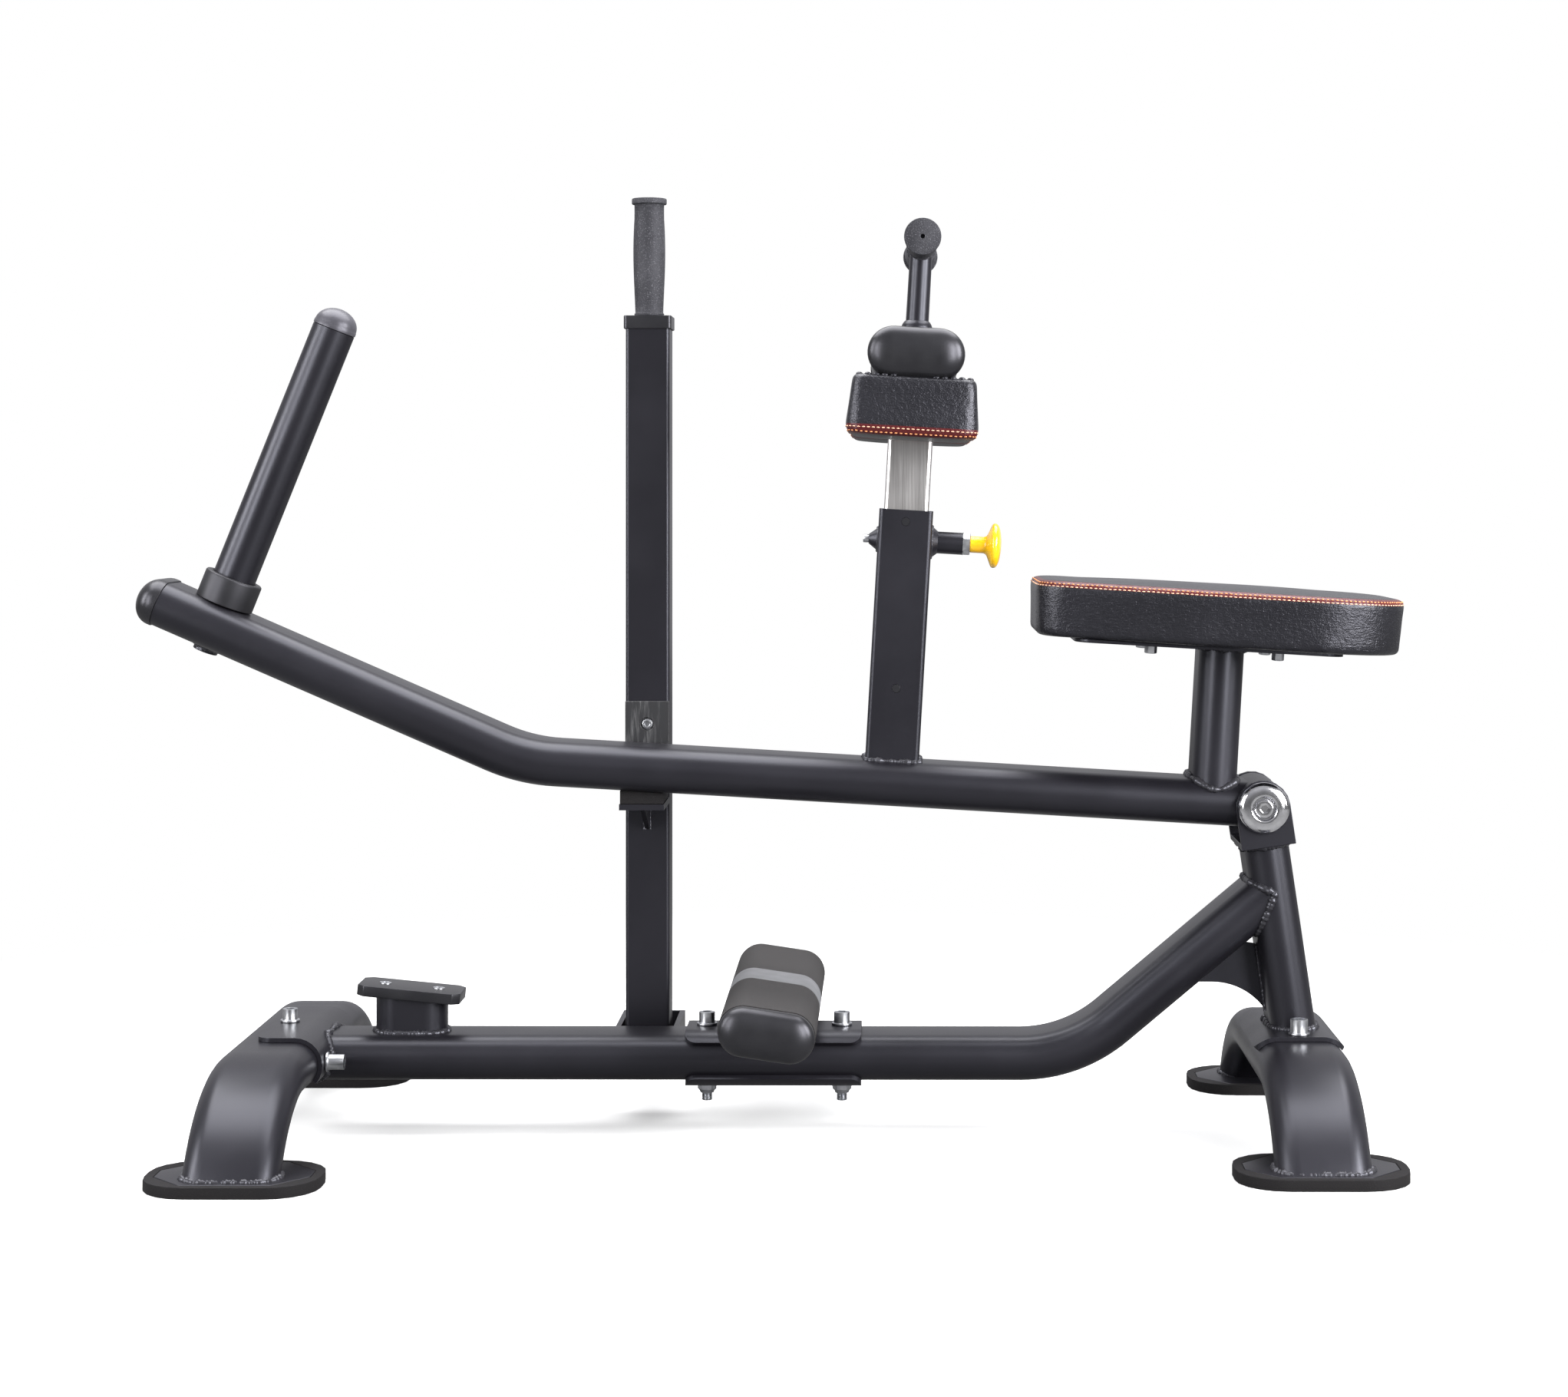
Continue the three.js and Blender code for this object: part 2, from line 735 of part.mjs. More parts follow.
// A leg in its own frame, x = 0 at its middle: an arched tube welded to two foot plates.
function leg(level, boltHoles) {
  const plateBottom = footFloor + seatGap;
  const outerRadius = legBendRadius + tubeRadius;
  const buried = plateBottom + footPlateThickness / 2;
  const sink = Math.acos((buried - legHeight + legBendRadius) / outerRadius);
  const degrees = THREE.MathUtils.radToDeg(sink);
  const start = new THREE.Vector3(
    0,
    -level / 2 - legBendRadius * Math.sin(sink),
    legHeight - legBendRadius * (1 - Math.cos(sink)),
  );
  const heading = new THREE.Vector3(0, Math.cos(sink), Math.sin(sink));
  const arch = sweep(
    ovalOutline(tubeWidth, tubeHeight),
    stationsAlong(start, heading, xAxis, [
      { angle: -degrees, radius: legBendRadius },
      { length: level },
      { angle: -degrees, radius: legBendRadius },
    ]),
  );
  const plates = [-1, 1].map((side) => {
    const outline = chamferedRectangle(
      footPlateLength,
      footPlateDepth,
      footPlateChamferX,
      footPlateChamferY,
    );
    const hole = rod("z", footScrewRadius, plateBottom - cutOverrun, footTop + cutOverrun, 12);
    const middle = side * (legReach(level) - footSetback);
    return cut(
      prism("z", outline, plateBottom, footTop),
      hole.translate(0, side * (footPlateDepth / 2 - footScrewInset), 0),
    ).translate(0, middle, 0);
  });
  const ground = block(
    [-tubeWidth, -level - outerRadius * 2, -tubeWidth],
    [tubeWidth, level + outerRadius * 2, plateBottom],
  );
  return cut(join(cut(arch, ground), ...plates), ...boltHoles);
}

// A rubber foot round and under a foot plate.
function rubberFoot() {
  const pocket = chamferedRectangle(
    footPlateLength + 2 * seatGap,
    footPlateDepth + 2 * seatGap,
    footPlateChamferX,
    footPlateChamferY,
  );
  return cut(
    prism("z", roundedOutline(rectangle(footLength, footDepth), footCorner), 0, footTop),
    prism("z", pocket, footFloor, footTop + cutOverrun),
  );
}

// Holes for the bolts that come through a saddle plate into a leg, in the leg's frame.
const frameHole = () =>
  rod("z", frameBoltRadius + boreClearance, -frameBoltReach - seatGap, cutOverrun * 2, boltSides);
const topHole = (y) => frameHole().translate(0, y, saddleTop - seatGap);
const sideHole = (side) =>
  frameHole()
    .rotateY(Math.PI / 2)
    .translate(tubeFlat + saddleRadius, side * frontSideBoltOffset, legHeight);
const frontHoles = () => [topHole(0), sideHole(-1), sideHole(1)];
const rearHoles = () => [topHole(-rearBoltOffset), topHole(rearBoltOffset)];

// What the rounded corners of a saddle plate leave out, seen from above.
function cornerCutters(x, y, ends) {
  const out = cutOverrun;
  return ends.flatMap((end) =>
    [-1, 1].map((side) => {
      const shape = new THREE.Shape();
      shape.moveTo(end * (x + out), side * (y + out));
      shape.lineTo(end * (x - saddleCorner), side * (y + out));
      for (let angle = 0; angle <= 90; angle += 15) {
        const [along, across] = [Math.sin(radians(angle)), Math.cos(radians(angle))];
        shape.lineTo(
          end * (x - saddleCorner * (1 - along)),
          side * (y - saddleCorner * (1 - across)),
        );
      }
      shape.lineTo(end * (x + out), side * (y - saddleCorner));
      return prism("z", shape, legHeight, saddleTop + cutOverrun);
    }),
  );
}

function frontSaddle() {
  const wraps = [{ overlap: frontSaddleOverlap }, { wrap: frontSaddleWrap }];
  const outline = saddleOutline(tubeRadius + seatGap, saddleThickness, tubeFlat, wraps);
  const plate = prism("y", outline, -frontSaddleDepth / 2, frontSaddleDepth / 2);
  const corners = cornerCutters(frontSaddleOverlap, frontSaddleDepth / 2, [-1]);
  return cut(plate.translate(0, 0, legHeight), ...corners, ...frontHoles());
}

function rearSaddle() {
  const wraps = [{ wrap: rearSaddleWrap }, { wrap: rearSaddleWrap }];
  const outline = saddleOutline(tubeRadius + seatGap, saddleThickness, tubeFlat, wraps);
  const plate = prism("y", outline, -rearSaddleDepth / 2, rearSaddleDepth / 2);
  const edge = tubeFlat + saddleRadius * Math.sin(radians(rearSaddleWrap));
  const corners = cornerCutters(edge, rearSaddleDepth / 2, [-1, 1]);
  return cut(plate.translate(0, 0, legHeight), ...corners, ...rearHoles());
}

// The base: tubes, legs, saddle plates and feet.
function baseFrame() {
  const frontLeg = piece("front_leg", leg(frontLegLevel, frontHoles()), blackPaint);
  const rearLeg = piece("rear_leg", leg(rearLegLevel, rearHoles()), blackPaint);
  const rearPlate = piece("rear_saddle_plate", rearSaddle(), blackPaint);
  rearLeg.position.x = legSpacing;
  rearPlate.position.x = legSpacing;
  const feet = [
    ["front", 0, frontLegLevel],
    ["rear", legSpacing, rearLegLevel],
  ].flatMap(([end, x, level]) =>
    [-1, 1].map((side) => {
      const foot = piece(`${end}_foot_${side < 0 ? "near" : "far"}`, rubberFoot(), rubber);
      foot.position.set(x, side * (legReach(level) - footSetback), 0);
      return foot;
    }),
  );
  const frontHead = { radius: frontBoltHeadRadius, washer: frontWasherRadius };
  const sideHead = { ...frontHead, height: frontSideHeadHeight };
  const rearHead = { radius: rearBoltHeadRadius, height: rearBoltHeadHeight };
  const topBolt = piece("front_bolt_top", socketBolt(frameBoltReach, frontHead), zinc);
  topBolt.position.z = saddleTop + seatGap;
  const sideBolts = [-1, 1].map((side) => {
    const bolt = piece(
      `front_bolt_${side < 0 ? "near" : "far"}`,
      socketBolt(frameBoltReach, sideHead),
      zinc,
    );
    const face = tubeFlat + saddleRadius + seatGap;
    bolt.position.set(face, side * frontSideBoltOffset, legHeight);
    bolt.rotation.y = Math.PI / 2;
    return bolt;
  });
  const rearBolts = [-1, 1].map((side) => {
    const bolt = piece(
      `rear_bolt_${side < 0 ? "near" : "far"}`,
      socketBolt(frameBoltReach, rearHead),
      zinc,
    );
    bolt.position.set(legSpacing, side * rearBoltOffset, saddleTop + seatGap);
    return bolt;
  });
  return group(
    piece("base_tube", baseTube(), blackPaint),
    piece("rear_upright", rearUpright(), blackPaint),
    piece("frame_gusset", frameGusset(), blackPaint),
    frontLeg,
    rearLeg,
    piece("front_saddle_plate", frontSaddle(), blackPaint),
    rearPlate,
    ...feet,
    topBolt,
    ...sideBolts,
    ...rearBolts,
  );
}

// The bumper that the lowered arm comes to rest on.
function bumper() {
  const rise = bumperTop - baseTubeHeight;
  const under = -bumperPadThickness - seatGap;
  const tilted = (geometry) =>
    geometry.rotateY(radians(bumperTilt)).translate(bumperBack, 0, bumperTop);
  const above = block(
    [-bumperPadLength, -bumperPadWidth, under],
    [bumperPadLength, bumperPadWidth, rise],
  );
  const stem = prism(
    "z",
    ovalOutline(bumperBlockLength, bumperBlockWidth),
    baseTubeHeight + tubeRadius + seatGap,
    bumperTop,
  ).translate(bumperBack, 0, 0);
  const outline = chamferedRectangle(
    bumperPadLength,
    bumperPadWidth,
    bumperPadChamfer,
    bumperPadChamfer,
  );
  const wells = [-1, 1].map((side) =>
    rod("z", bumperCounterbore, -bumperCounterboreDepth, cutOverrun).translate(
      (side * bumperBoltSpacing) / 2,
      0,
      0,
    ),
  );
  const pad = cut(prism("z", outline, -bumperPadThickness, 0), ...wells);
  return group(
    piece("bumper_block", cut(stem, tilted(above)), blackPaint),
    piece("bumper_pad", tilted(pad), rubber),
  );
}

// The footrest across the base tube, welded to the upper half of a bolted clamp.
function footrest() {
  const half = footrestLength / 2;
  const tilt = radians(footrestTilt);
  const wrapOutline = (inner, thickness, wrap) =>
    saddleOutline(inner, thickness, tubeFlat, [{ wrap }, { wrap }]);
  const lowest = tubeRadius + tubeFlat * Math.sin(tilt);
  const height = clampFace + lowest - footrestSink;
  const tube = prism("y", ovalOutline(tubeWidth, tubeHeight), -half, half)
    .rotateY(tilt)
    .translate(footrestBack, 0, height);
  const plan = roundedOutline(rectangle(clampLength, 2 * (tubeFlat + clampRadius)), clampCorner);
  const clampHalf = () => {
    const band = prism(
      "x",
      wrapOutline(tubeRadius + seatGap, clampThickness, clampWrap),
      -clampLength / 2,
      clampLength / 2,
    );
    const rounded = solidOf(band).intersect(
      solidOf(prism("z", plan, -tubeHeight, tubeHeight * 2)),
    );
    const hole = rod("z", frameBoltRadius + boreClearance, 0, tubeHeight, boltSides);
    const holes = [-1, 1].map((side) =>
      hole.clone().translate((side * clampBoltSpacing) / 2, 0, 0),
    );
    return cut(geometryOf(rounded), ...holes);
  };
  const upper = clampHalf().translate(footrestBack, 0, baseTubeHeight);
  const nut = cut(
    rod("z", nutRadius, -nutHeight, 0, 6),
    rod("z", frameBoltRadius + boreClearance, -nutHeight - cutOverrun, cutOverrun, boltSides),
  );
  const nuts = [-1, 1].map((side) =>
    nut.clone().translate((side * clampBoltSpacing) / 2, 0, -clampRadius),
  );
  const lower = join(clampHalf().rotateX(Math.PI), ...nuts);
  const reach = 2 * clampRadius + nutHeight + clampBoltTail;
  const bolts = [-1, 1].map((side) => {
    const bolt = piece(
      `footrest_bolt_${side < 0 ? "front" : "rear"}`,
      socketBolt(reach),
      zinc,
    );
    bolt.position.set(footrestBack + (side * clampBoltSpacing) / 2, 0, clampFace + seatGap);
    return bolt;
  });
  const tread = prism(
    "y",
    wrapOutline(tubeRadius + seatGap, coverThickness, coverWrap),
    -half + coverInset,
    half - coverInset,
  );
  const cover = piece("footrest_cover", tread, rubber);
  const caps = [-1, 1].map((side) => {
    const cap = ovalCap(capDepth).rotateX((-side * Math.PI) / 2);
    return piece(
      `footrest_cap_${side < 0 ? "near" : "far"}`,
      cap.translate(0, side * half, 0),
      blackPlastic,
    );
  });
  const tilted = group(cover, ...caps);
  tilted.position.set(footrestBack, 0, height);
  tilted.rotation.y = tilt;
  const clampBottom = piece("footrest_clamp_lower", lower, blackPaint);
  clampBottom.position.set(footrestBack, 0, baseTubeHeight);
  return group(
    piece("footrest_tube", join(tube, upper), blackPaint),
    clampBottom,
    ...bolts,
    tilted,
  );
}

// The bracket on the far side of the base tube, with the catch post's pivot bolt.
function catchBracket() {
  const inner = catchPostSize / 2 + catchEarGap;
  const outer = inner + catchEarThickness;
  const backInner = catchPostY + catchPostSize / 2 + catchSwingRoom;
  const backOuter = backInner + catchEarThickness;
  const channel = cut(
    block([-outer, tubeFlat, bracketBottom], [outer, backOuter, bracketTop]),
    block(
      [-inner, 0, bracketBottom - cutOverrun],
      [inner, backInner, bracketTop + cutOverrun],
    ),
    prism("x", grownTube(seatGap), -tubeWidth, tubeWidth).translate(0, 0, baseTubeHeight),
    rod("x", catchBoltRadius + boreClearance, -outer - cutOverrun, outer + cutOverrun).translate(
      0,
      catchPostY,
      catchPivotHeight,
    ),
  );
  const face = outer + seatGap;
  const bolt = turned("x", [
    [0, -face - catchBoltHeadLength],
    [catchBoltHeadRadius, -face - catchBoltHeadLength],
    [catchBoltHeadRadius, -face],
    [catchBoltRadius, -face],
    [catchBoltRadius, face],
    [catchBoltHeadRadius, face],
    [catchBoltHeadRadius, face + catchBoltHeadLength],
    [0, face + catchBoltHeadLength],
  ]);
  const boltPiece = piece("catch_pivot_bolt", bolt, zinc);
  boltPiece.position.set(0, catchPostY, catchPivotHeight);
  const made = group(piece("catch_bracket", channel, blackPaint), boltPiece);
  made.position.x = catchBack;
  return made;
}

// The clevis on the upright, its shaft and the two bright caps.
function armPivot() {
  const earOuter = clevisInner + clevisThickness;
  const outline = new THREE.Shape();
  outline.moveTo(-clevisRadius, -clevisDrop);
  outline.lineTo(clevisRadius, -clevisDrop);
  outline.absarc(0, 0, clevisRadius, 0, Math.PI, false);
  const clevis = cut(
    prism("y", outline, -earOuter, earOuter),
    block(
      [-clevisRadius * 2, -clevisInner, -clevisDrop + clevisThickness],
      [clevisRadius * 2, clevisInner, clevisRadius * 2],
    ),
    rod("y", pivotShaftRadius + boreClearance, -earOuter - cutOverrun, earOuter + cutOverrun),
  );
  const shaft = rod("y", pivotShaftRadius, -earOuter, earOuter);
  const cap = () =>
    turned("y", [
      [0, seatGap],
      [pivotCapRadius, seatGap],
      [pivotCapRadius, pivotCapHeight * 0.3],
      [pivotCapRadius * 0.93, pivotCapHeight * 0.65],
      [pivotCapRadius * 0.78, pivotCapHeight * 0.9],
      [pivotCapRadius * 0.6, pivotCapHeight],
      [pivotCapRecess, pivotCapHeight],
      [pivotCapRecess * 0.92, pivotCapHeight - pivotCapRecessDepth],
      [0, pivotCapHeight - pivotCapRecessDepth],
    ]);
  const caps = [-1, 1].map((side) => {
    const made = cap().rotateX(side < 0 ? Math.PI : 0);
    return piece(
      `pivot_cap_${side < 0 ? "near" : "far"}`,
      made.translate(0, side * earOuter, 0),
      chrome,
    );
  });
  const made = group(
    piece("pivot_clevis", clevis, blackPaint),
    piece("pivot_shaft", shaft, steel),
    ...caps,
  );
  made.position.set(pivotBack, 0, pivotHeight);
  made.rotation.y = -uprightLean;
  return made;
}

// The arm tube in the arm's frame: x = 0 at the pivot, running forward along -x.
function armTube() {
  const tangent = armBendRadius * Math.tan(radians(armBendAngle / 2));
  const tube = sweep(
    frameTube,
    stationsAlong(new THREE.Vector3(), xAxis.clone().negate(), yAxis, [
      { length: armLevelReach - tangent },
      { angle: armBendAngle, radius: armBendRadius },
      { length: armInclineLength - tangent },
    ]),
  );
  const sleeveCut = rod(
    "y",
    pivotSleeveRadius + seatGap,
    -tubeWidth,
    tubeWidth,
    2 * roundSides,
  );
  const spigotHole = rod("z", hornSpigotRadius + seatGap, -tubeHeight, tubeHeight);
  return cut(tube, sleeveCut, onIncline(spigotHole.translate(-hornBack, 0, 0)));
}

// Moves a geometry drawn about the incline, x = 0 at the bend vertex, into the arm's frame.
function onIncline(geometry) {
  return geometry.rotateY(radians(armBendAngle)).translate(-armLevelReach, 0, 0);
}

// A tube that stands on the arm, coped to its rounded top.
function standingTube(outline, top) {
  const armBody = prism("x", grownTube(seatGap), -tubeWidth, tubeWidth);
  return cut(prism("z", outline, 0, top), armBody);
}

function weightHorn() {
  const base = tubeRadius + seatGap;
  const end = base + hornLength;
  const lean = (geometry) =>
    geometry
      .translate(0, 0, -base)
      .rotateY(-radians(hornLean))
      .translate(0, 0, base);
  const underArm = rod("z", 2 * collarRadius, -tubeRadius, base);
  const horn = cut(lean(rod("z", hornRadius, base - cutOverrun, end)), underArm);
  const spigot = rod("z", hornSpigotRadius, -tubeRadius - hornSpigotReach, base + cutOverrun);
  const domeSteps = 6;
  const dome = Array.from({ length: domeSteps + 1 }, (_, k) => {
    const angle = ((k / domeSteps) * Math.PI) / 2;
    return [hornRadius * Math.cos(angle), end + seatGap + hornCapDepth * Math.sin(angle)];
  });
  const collar = turned("z", [
    [hornRadius + seatGap, base - cutOverrun],
    [collarRadius, base - cutOverrun],
    [collarRadius, base + collarHeight - collarEdge],
    [collarRadius - collarEdge, base + collarHeight],
    [hornRadius + seatGap, base + collarHeight],
    [hornRadius + seatGap, base - cutOverrun],
  ]);
  const made = group(
    piece("horn_tube", join(horn, spigot), blackPaint),
    piece("horn_end_cap", lean(turned("z", [[0, end + seatGap], ...dome])), blackPlastic),
    piece("horn_collar", cut(lean(collar), underArm), blackPlastic),
  );
  made.position.x = -hornBack;
  return made;
}

function seat() {
  const plateTop = seatUnderside - seatGap;
  const post = standingTube(
    ovalOutline(tubeHeight, seatPostWidth),
    plateTop - seatPlateThickness,
  ).translate(-seatPostAhead, 0, 0);
  const plate = prism(
    "z",
    roundedOutline(rectangle(seatPlateLength, seatPlateWidth), seatPlateCorner),
    plateTop - seatPlateThickness,
    plateTop,
  ).translate(-seatPlateAhead, 0, 0);
  const plan = roundedOutline(
    [
      [-seatLength / 2, -seatFrontWidth / 2],
      [seatLength / 2, -seatRearWidth / 2],
      [seatLength / 2, seatRearWidth / 2],
      [-seatLength / 2, seatFrontWidth / 2],
    ],
    [seatFrontCorner, seatRearCorner, seatRearCorner, seatFrontCorner],
    15,
  );
  const pad = piece(
    "seat_pad",
    cushion(plan, seatThickness, seatCrown, seatDrawIn, seatEdge),
    leather,
  );
  pad.position.set(-seatAhead, 0, seatUnderside);
  return group(piece("seat_post", join(post, plate), blackPaint), pad);
}

// The sleeve of the thigh pad post with its pin barrel and stop boss, in the post's frame.
function kneeSleeve() {
  const half = sleeveSize / 2;
  const bore = roundedOutline(
    rectangle(sleeveSize - 2 * sleeveWall, sleeveSize - 2 * sleeveWall),
    sleeveCorner - sleeveWall,
  );
  const tube = cut(
    standingTube(roundedOutline(rectangle(sleeveSize, sleeveSize), sleeveCorner), sleeveTop),
    prism("z", bore, tubeRadius + sleeveWall, sleeveTop + cutOverrun),
  );
  const faceIn = half - sleeveWall / 2;
  const barrel = turned("x", [
    [0, faceIn],
    [pinBossRadius, faceIn],
    [pinBossRadius, half],
    [pinBarrelRadius, half + pinBossFlare],
    [pinBarrelRadius, half + pinBarrelLength],
    [0, half + pinBarrelLength],
  ]);
  const lockNut = rod(
    "x",
    pinNutRadius,
    half + pinBarrelLength - sleeveWall,
    half + pinBarrelLength + pinNutLength,
    6,
  );
  const boss = turned("x", [
    [0, -faceIn],
    [stopBossRadius, -faceIn],
    [stopBossRadius, -half],
    [stopBossTip, -half - stopBossLength],
    [stopScrewRadius, -half - stopBossLength],
    [stopScrewRadius, -half - stopBossLength - stopScrewReach],
    [0, -half - stopBossLength - stopScrewReach],
  ]);
  const pinBore = rod(
    "x",
    pinRadius + boreClearance,
    half - sleeveWall - cutOverrun,
    half + pinBarrelLength + pinNutLength + cutOverrun,
  );
  const springRoom = rod("x", pinBarrelBore, half, half + pinBarrelLength - sleeveWall);
  const level = (geometry) => geometry.translate(0, 0, pinHeight);
  const pipHole = (z) =>
    rod("y", pipRadius + seatGap, -sleeveSize, sleeveSize).translate(0, 0, z);
  return cut(
    join(tube, level(barrel), level(lockNut), level(boss)),
    level(pinBore),
    level(springRoom),
    pipHole(sleeveTop - upperPipDrop),
    pipHole(lowerBushBottom + lowerBushLength / 2),
  );
}

// A plastic guide bush in the sleeve, held by a round pip on each side.
function guideBush(bottom, length, pipZ) {
  const outside = sleeveSize - 2 * sleeveWall - 2 * seatGap;
  const inside = postSize + 2 * bushGap;
  const pips = rod("y", pipRadius, -sleeveSize / 2, sleeveSize / 2).translate(0, 0, pipZ);
  const shell = prism(
    "z",
    roundedOutline(rectangle(outside, outside), sleeveCorner - sleeveWall),
    bottom,
    bottom + length,
  );
  const bore = prism(
    "z",
    roundedOutline(rectangle(inside, inside), postCorner - bushGap),
    bottom - cutOverrun,
    bottom + length + cutOverrun,
  );
  const pinHole = rod("x", pinRadius + boreClearance, 0, sleeveSize).translate(0, 0, pinHeight);
  return cut(join(shell, pips), bore, pinHole);
}

// The pull pin parked at rest: its nose stands just clear of the sliding post.
function pullPin() {
  const half = sleeveSize / 2;
  const nose = postSize / 2 + pinNoseGap;
  const collar = half + seatGap;
  const stem = half + pinBarrelLength + pinNutLength + seatGap;
  const flare = stem + pinStemLength;
  const knobShares = [
    [0.45, 0.12],
    [0.8, 0.32],
    [0.97, 0.42],
    [1, 0.52],
    [0.93, 0.7],
    [0.7, 0.87],
    [0.4, 0.97],
  ];
  return turned("x", [
    [0, nose],
    [pinRadius, nose],
    [pinRadius, collar],
    [pinCollarRadius, collar],
    [pinCollarRadius, collar + pinCollarLength],
    [pinRadius, collar + pinCollarLength],
    [pinRadius, stem],
    [pinStemRadius, stem],
    [pinStemRadius, flare],
    ...knobShares.map(([radius, along]) => [radius * pinKnobRadius, flare + along * pinKnobLength]),
    [0, flare + pinKnobLength],
  ]);
}

// The sliding carriage: post, crossbar, thigh pads and the handle above them.
function thighPadCarriage() {
  const crossbarUnder = crossbarHeight - tubeRadius;
  const crossbarTop = crossbarHeight + tubeRadius;
  const bore = postSize - 2 * postWall;
  const postTop = crossbarUnder - seatGap;
  const square = (size, corner) => roundedOutline(rectangle(size, size), corner);
  const pinHoles = Array.from({ length: pinHolesBelow + 1 + pinHolesAbove }, (_, k) =>
    rod("x", pinRadius + boreClearance, -postSize, postSize, holeSides).translate(
      0,
      0,
      pinHeight + (k - pinHolesBelow) * pinHolePitch,
    ),
  );
  const post = cut(
    prism("z", square(postSize, postCorner), postBottom, postTop),
    prism("z", square(bore, postCorner - postWall), postBottom - cutOverrun, postTop - postWall),
    ...pinHoles,
  );
  const half = crossbarLength / 2;
  const crossbar = prism("y", ovalOutline(tubeWidth, tubeHeight), -half, half);
  const caps = [-1, 1].map((side) => {
    const cap = ovalCap(capDepth).rotateX((-side * Math.PI) / 2);
    return piece(
      `crossbar_cap_${side < 0 ? "near" : "far"}`,
      cap.translate(0, side * half, crossbarHeight),
      blackPlastic,
    );
  });
  const padDepth = padOuter - padInner;
  const plateUnder = crossbarUnder - padPlateThickness;
  const plateInner = padInner + padPlateInset;
  const plateOuter = half - seatGap;
  const platePlan = roundedOutline(
    rectangle(padWidth - 2 * padPlateInset, plateOuter - plateInner),
    padCorner - padPlateInset,
  );
  const plates = [-1, 1].map((side) =>
    prism("z", platePlan, plateUnder, crossbarUnder + padPlateWeld).translate(
      0,
      (side * (plateInner + plateOuter)) / 2,
      0,
    ),
  );
  const bar = join(crossbar.translate(0, 0, crossbarHeight), ...plates);
  const padPlan = roundedOutline(rectangle(padWidth, padDepth), padCorner);
  const pads = [-1, 1].map((side) => {
    const pad = cushion(padPlan, padThickness - padCrown, padCrown, padDrawIn, padEdge);
    return piece(
      `thigh_pad_${side < 0 ? "near" : "far"}`,
      pad
        .rotateX(Math.PI)
        .translate(0, (side * (padInner + padOuter)) / 2, plateUnder - seatGap),
      leather,
    );
  });
  const handle = join(
    turned("z", [
      [0, crossbarTop + seatGap],
      [handleWeldRadius, crossbarTop + seatGap],
      [handleWeldRadius, crossbarTop + handleWeldHeight / 2],
      [handleTubeRadius, crossbarTop + handleWeldHeight],
      [handleTubeRadius, handleHeight],
      [0, handleHeight],
    ]),
    rod("y", handleTubeRadius, -handleBarHalf, handleBarHalf).translate(0, 0, handleHeight),
  );
  const foot = { radius: gripRadius, length: gripFlangeLength / 2, waist: handleTubeRadius + gripFootStep };
  const grips = [-1, 1].map((side) => {
    const grip = handGrip(
      handleGripOuter - handleGripInner,
      handleTubeRadius + seatGap,
      handleBarHalf - handleGripInner + seatGap,
      foot,
      gripVentRadius,
    );
    return piece(
      `handle_grip_${side < 0 ? "near" : "far"}`,
      grip
        .rotateX((-side * Math.PI) / 2)
        .translate(0, side * handleGripInner, handleHeight),
      gripRubber,
    );
  });
  const made = group(
    piece("sliding_post", post, steel),
    piece("pad_crossbar", bar, blackPaint),
    ...caps,
    ...pads,
    piece("t_handle", handle, blackPaint),
    ...grips,
  );
  return made;
}

// The lever arm with everything that swings on the pivot.
function leverArm() {
  const bushEnd = tubeWidth / 2;
  const sleeveEnd = bushEnd - pivotBushFlange - seatGap;
  const sleeve = ring("y", pivotSleeveBore, pivotSleeveRadius, -sleeveEnd, sleeveEnd);
  const bushes = [-1, 1].map((side) => {
    const flangeFace = bushEnd - pivotBushFlange;
    const bore = pivotShaftRadius + boreClearance;
    const body = pivotSleeveBore - seatGap;
    const bush = turned("y", [
      [bore, flangeFace - pivotBushLength],
      [body, flangeFace - pivotBushLength],
      [body, flangeFace],
      [pivotBushFlangeRadius, flangeFace],
      [pivotBushFlangeRadius, bushEnd],
      [bore, bushEnd],
      [bore, flangeFace - pivotBushLength],
    ]);
    return piece(
      `pivot_bush_${side < 0 ? "near" : "far"}`,
      side < 0 ? bush.rotateX(Math.PI) : bush,
      bronze,
    );
  });
  const incline = group(weightHorn());
  incline.position.x = -armLevelReach;
  incline.rotation.y = radians(armBendAngle);
  const endCap = onIncline(
    ovalCap(armCapDepth)
      .rotateZ(Math.PI / 2)
      .rotateY(-Math.PI / 2)
      .translate(-armInclineLength, 0, 0),
  );
  const post = group(
    piece("knee_sleeve", kneeSleeve(), blackPaint),
    piece(
      "guide_bush_upper",
      guideBush(sleeveTop - upperBushLength, upperBushLength, sleeveTop - upperPipDrop),
      blackPlastic,
    ),
    piece(
      "guide_bush_lower",
      guideBush(lowerBushBottom, lowerBushLength, lowerBushBottom + lowerBushLength / 2),
      blackPlastic,
    ),
    thighPadCarriage(),
  );
  const pin = group(
    piece("pull_pin", pullPin(), yellowPlastic),
  );
  pin.position.z = pinHeight;
  post.add(pin);
  post.position.x = -kneePostAhead;
  const made = group(
    piece("arm_tube", armTube(), blackPaint),
    piece("arm_end_cap", endCap, blackPlastic),
    piece("pivot_sleeve", sleeve, blackPaint),
    ...bushes,
    incline,
    seat(),
    post,
  );
  made.position.set(pivotBack, 0, pivotHeight);
  made.rotation.y = radians(restAngle);
  return made;
}

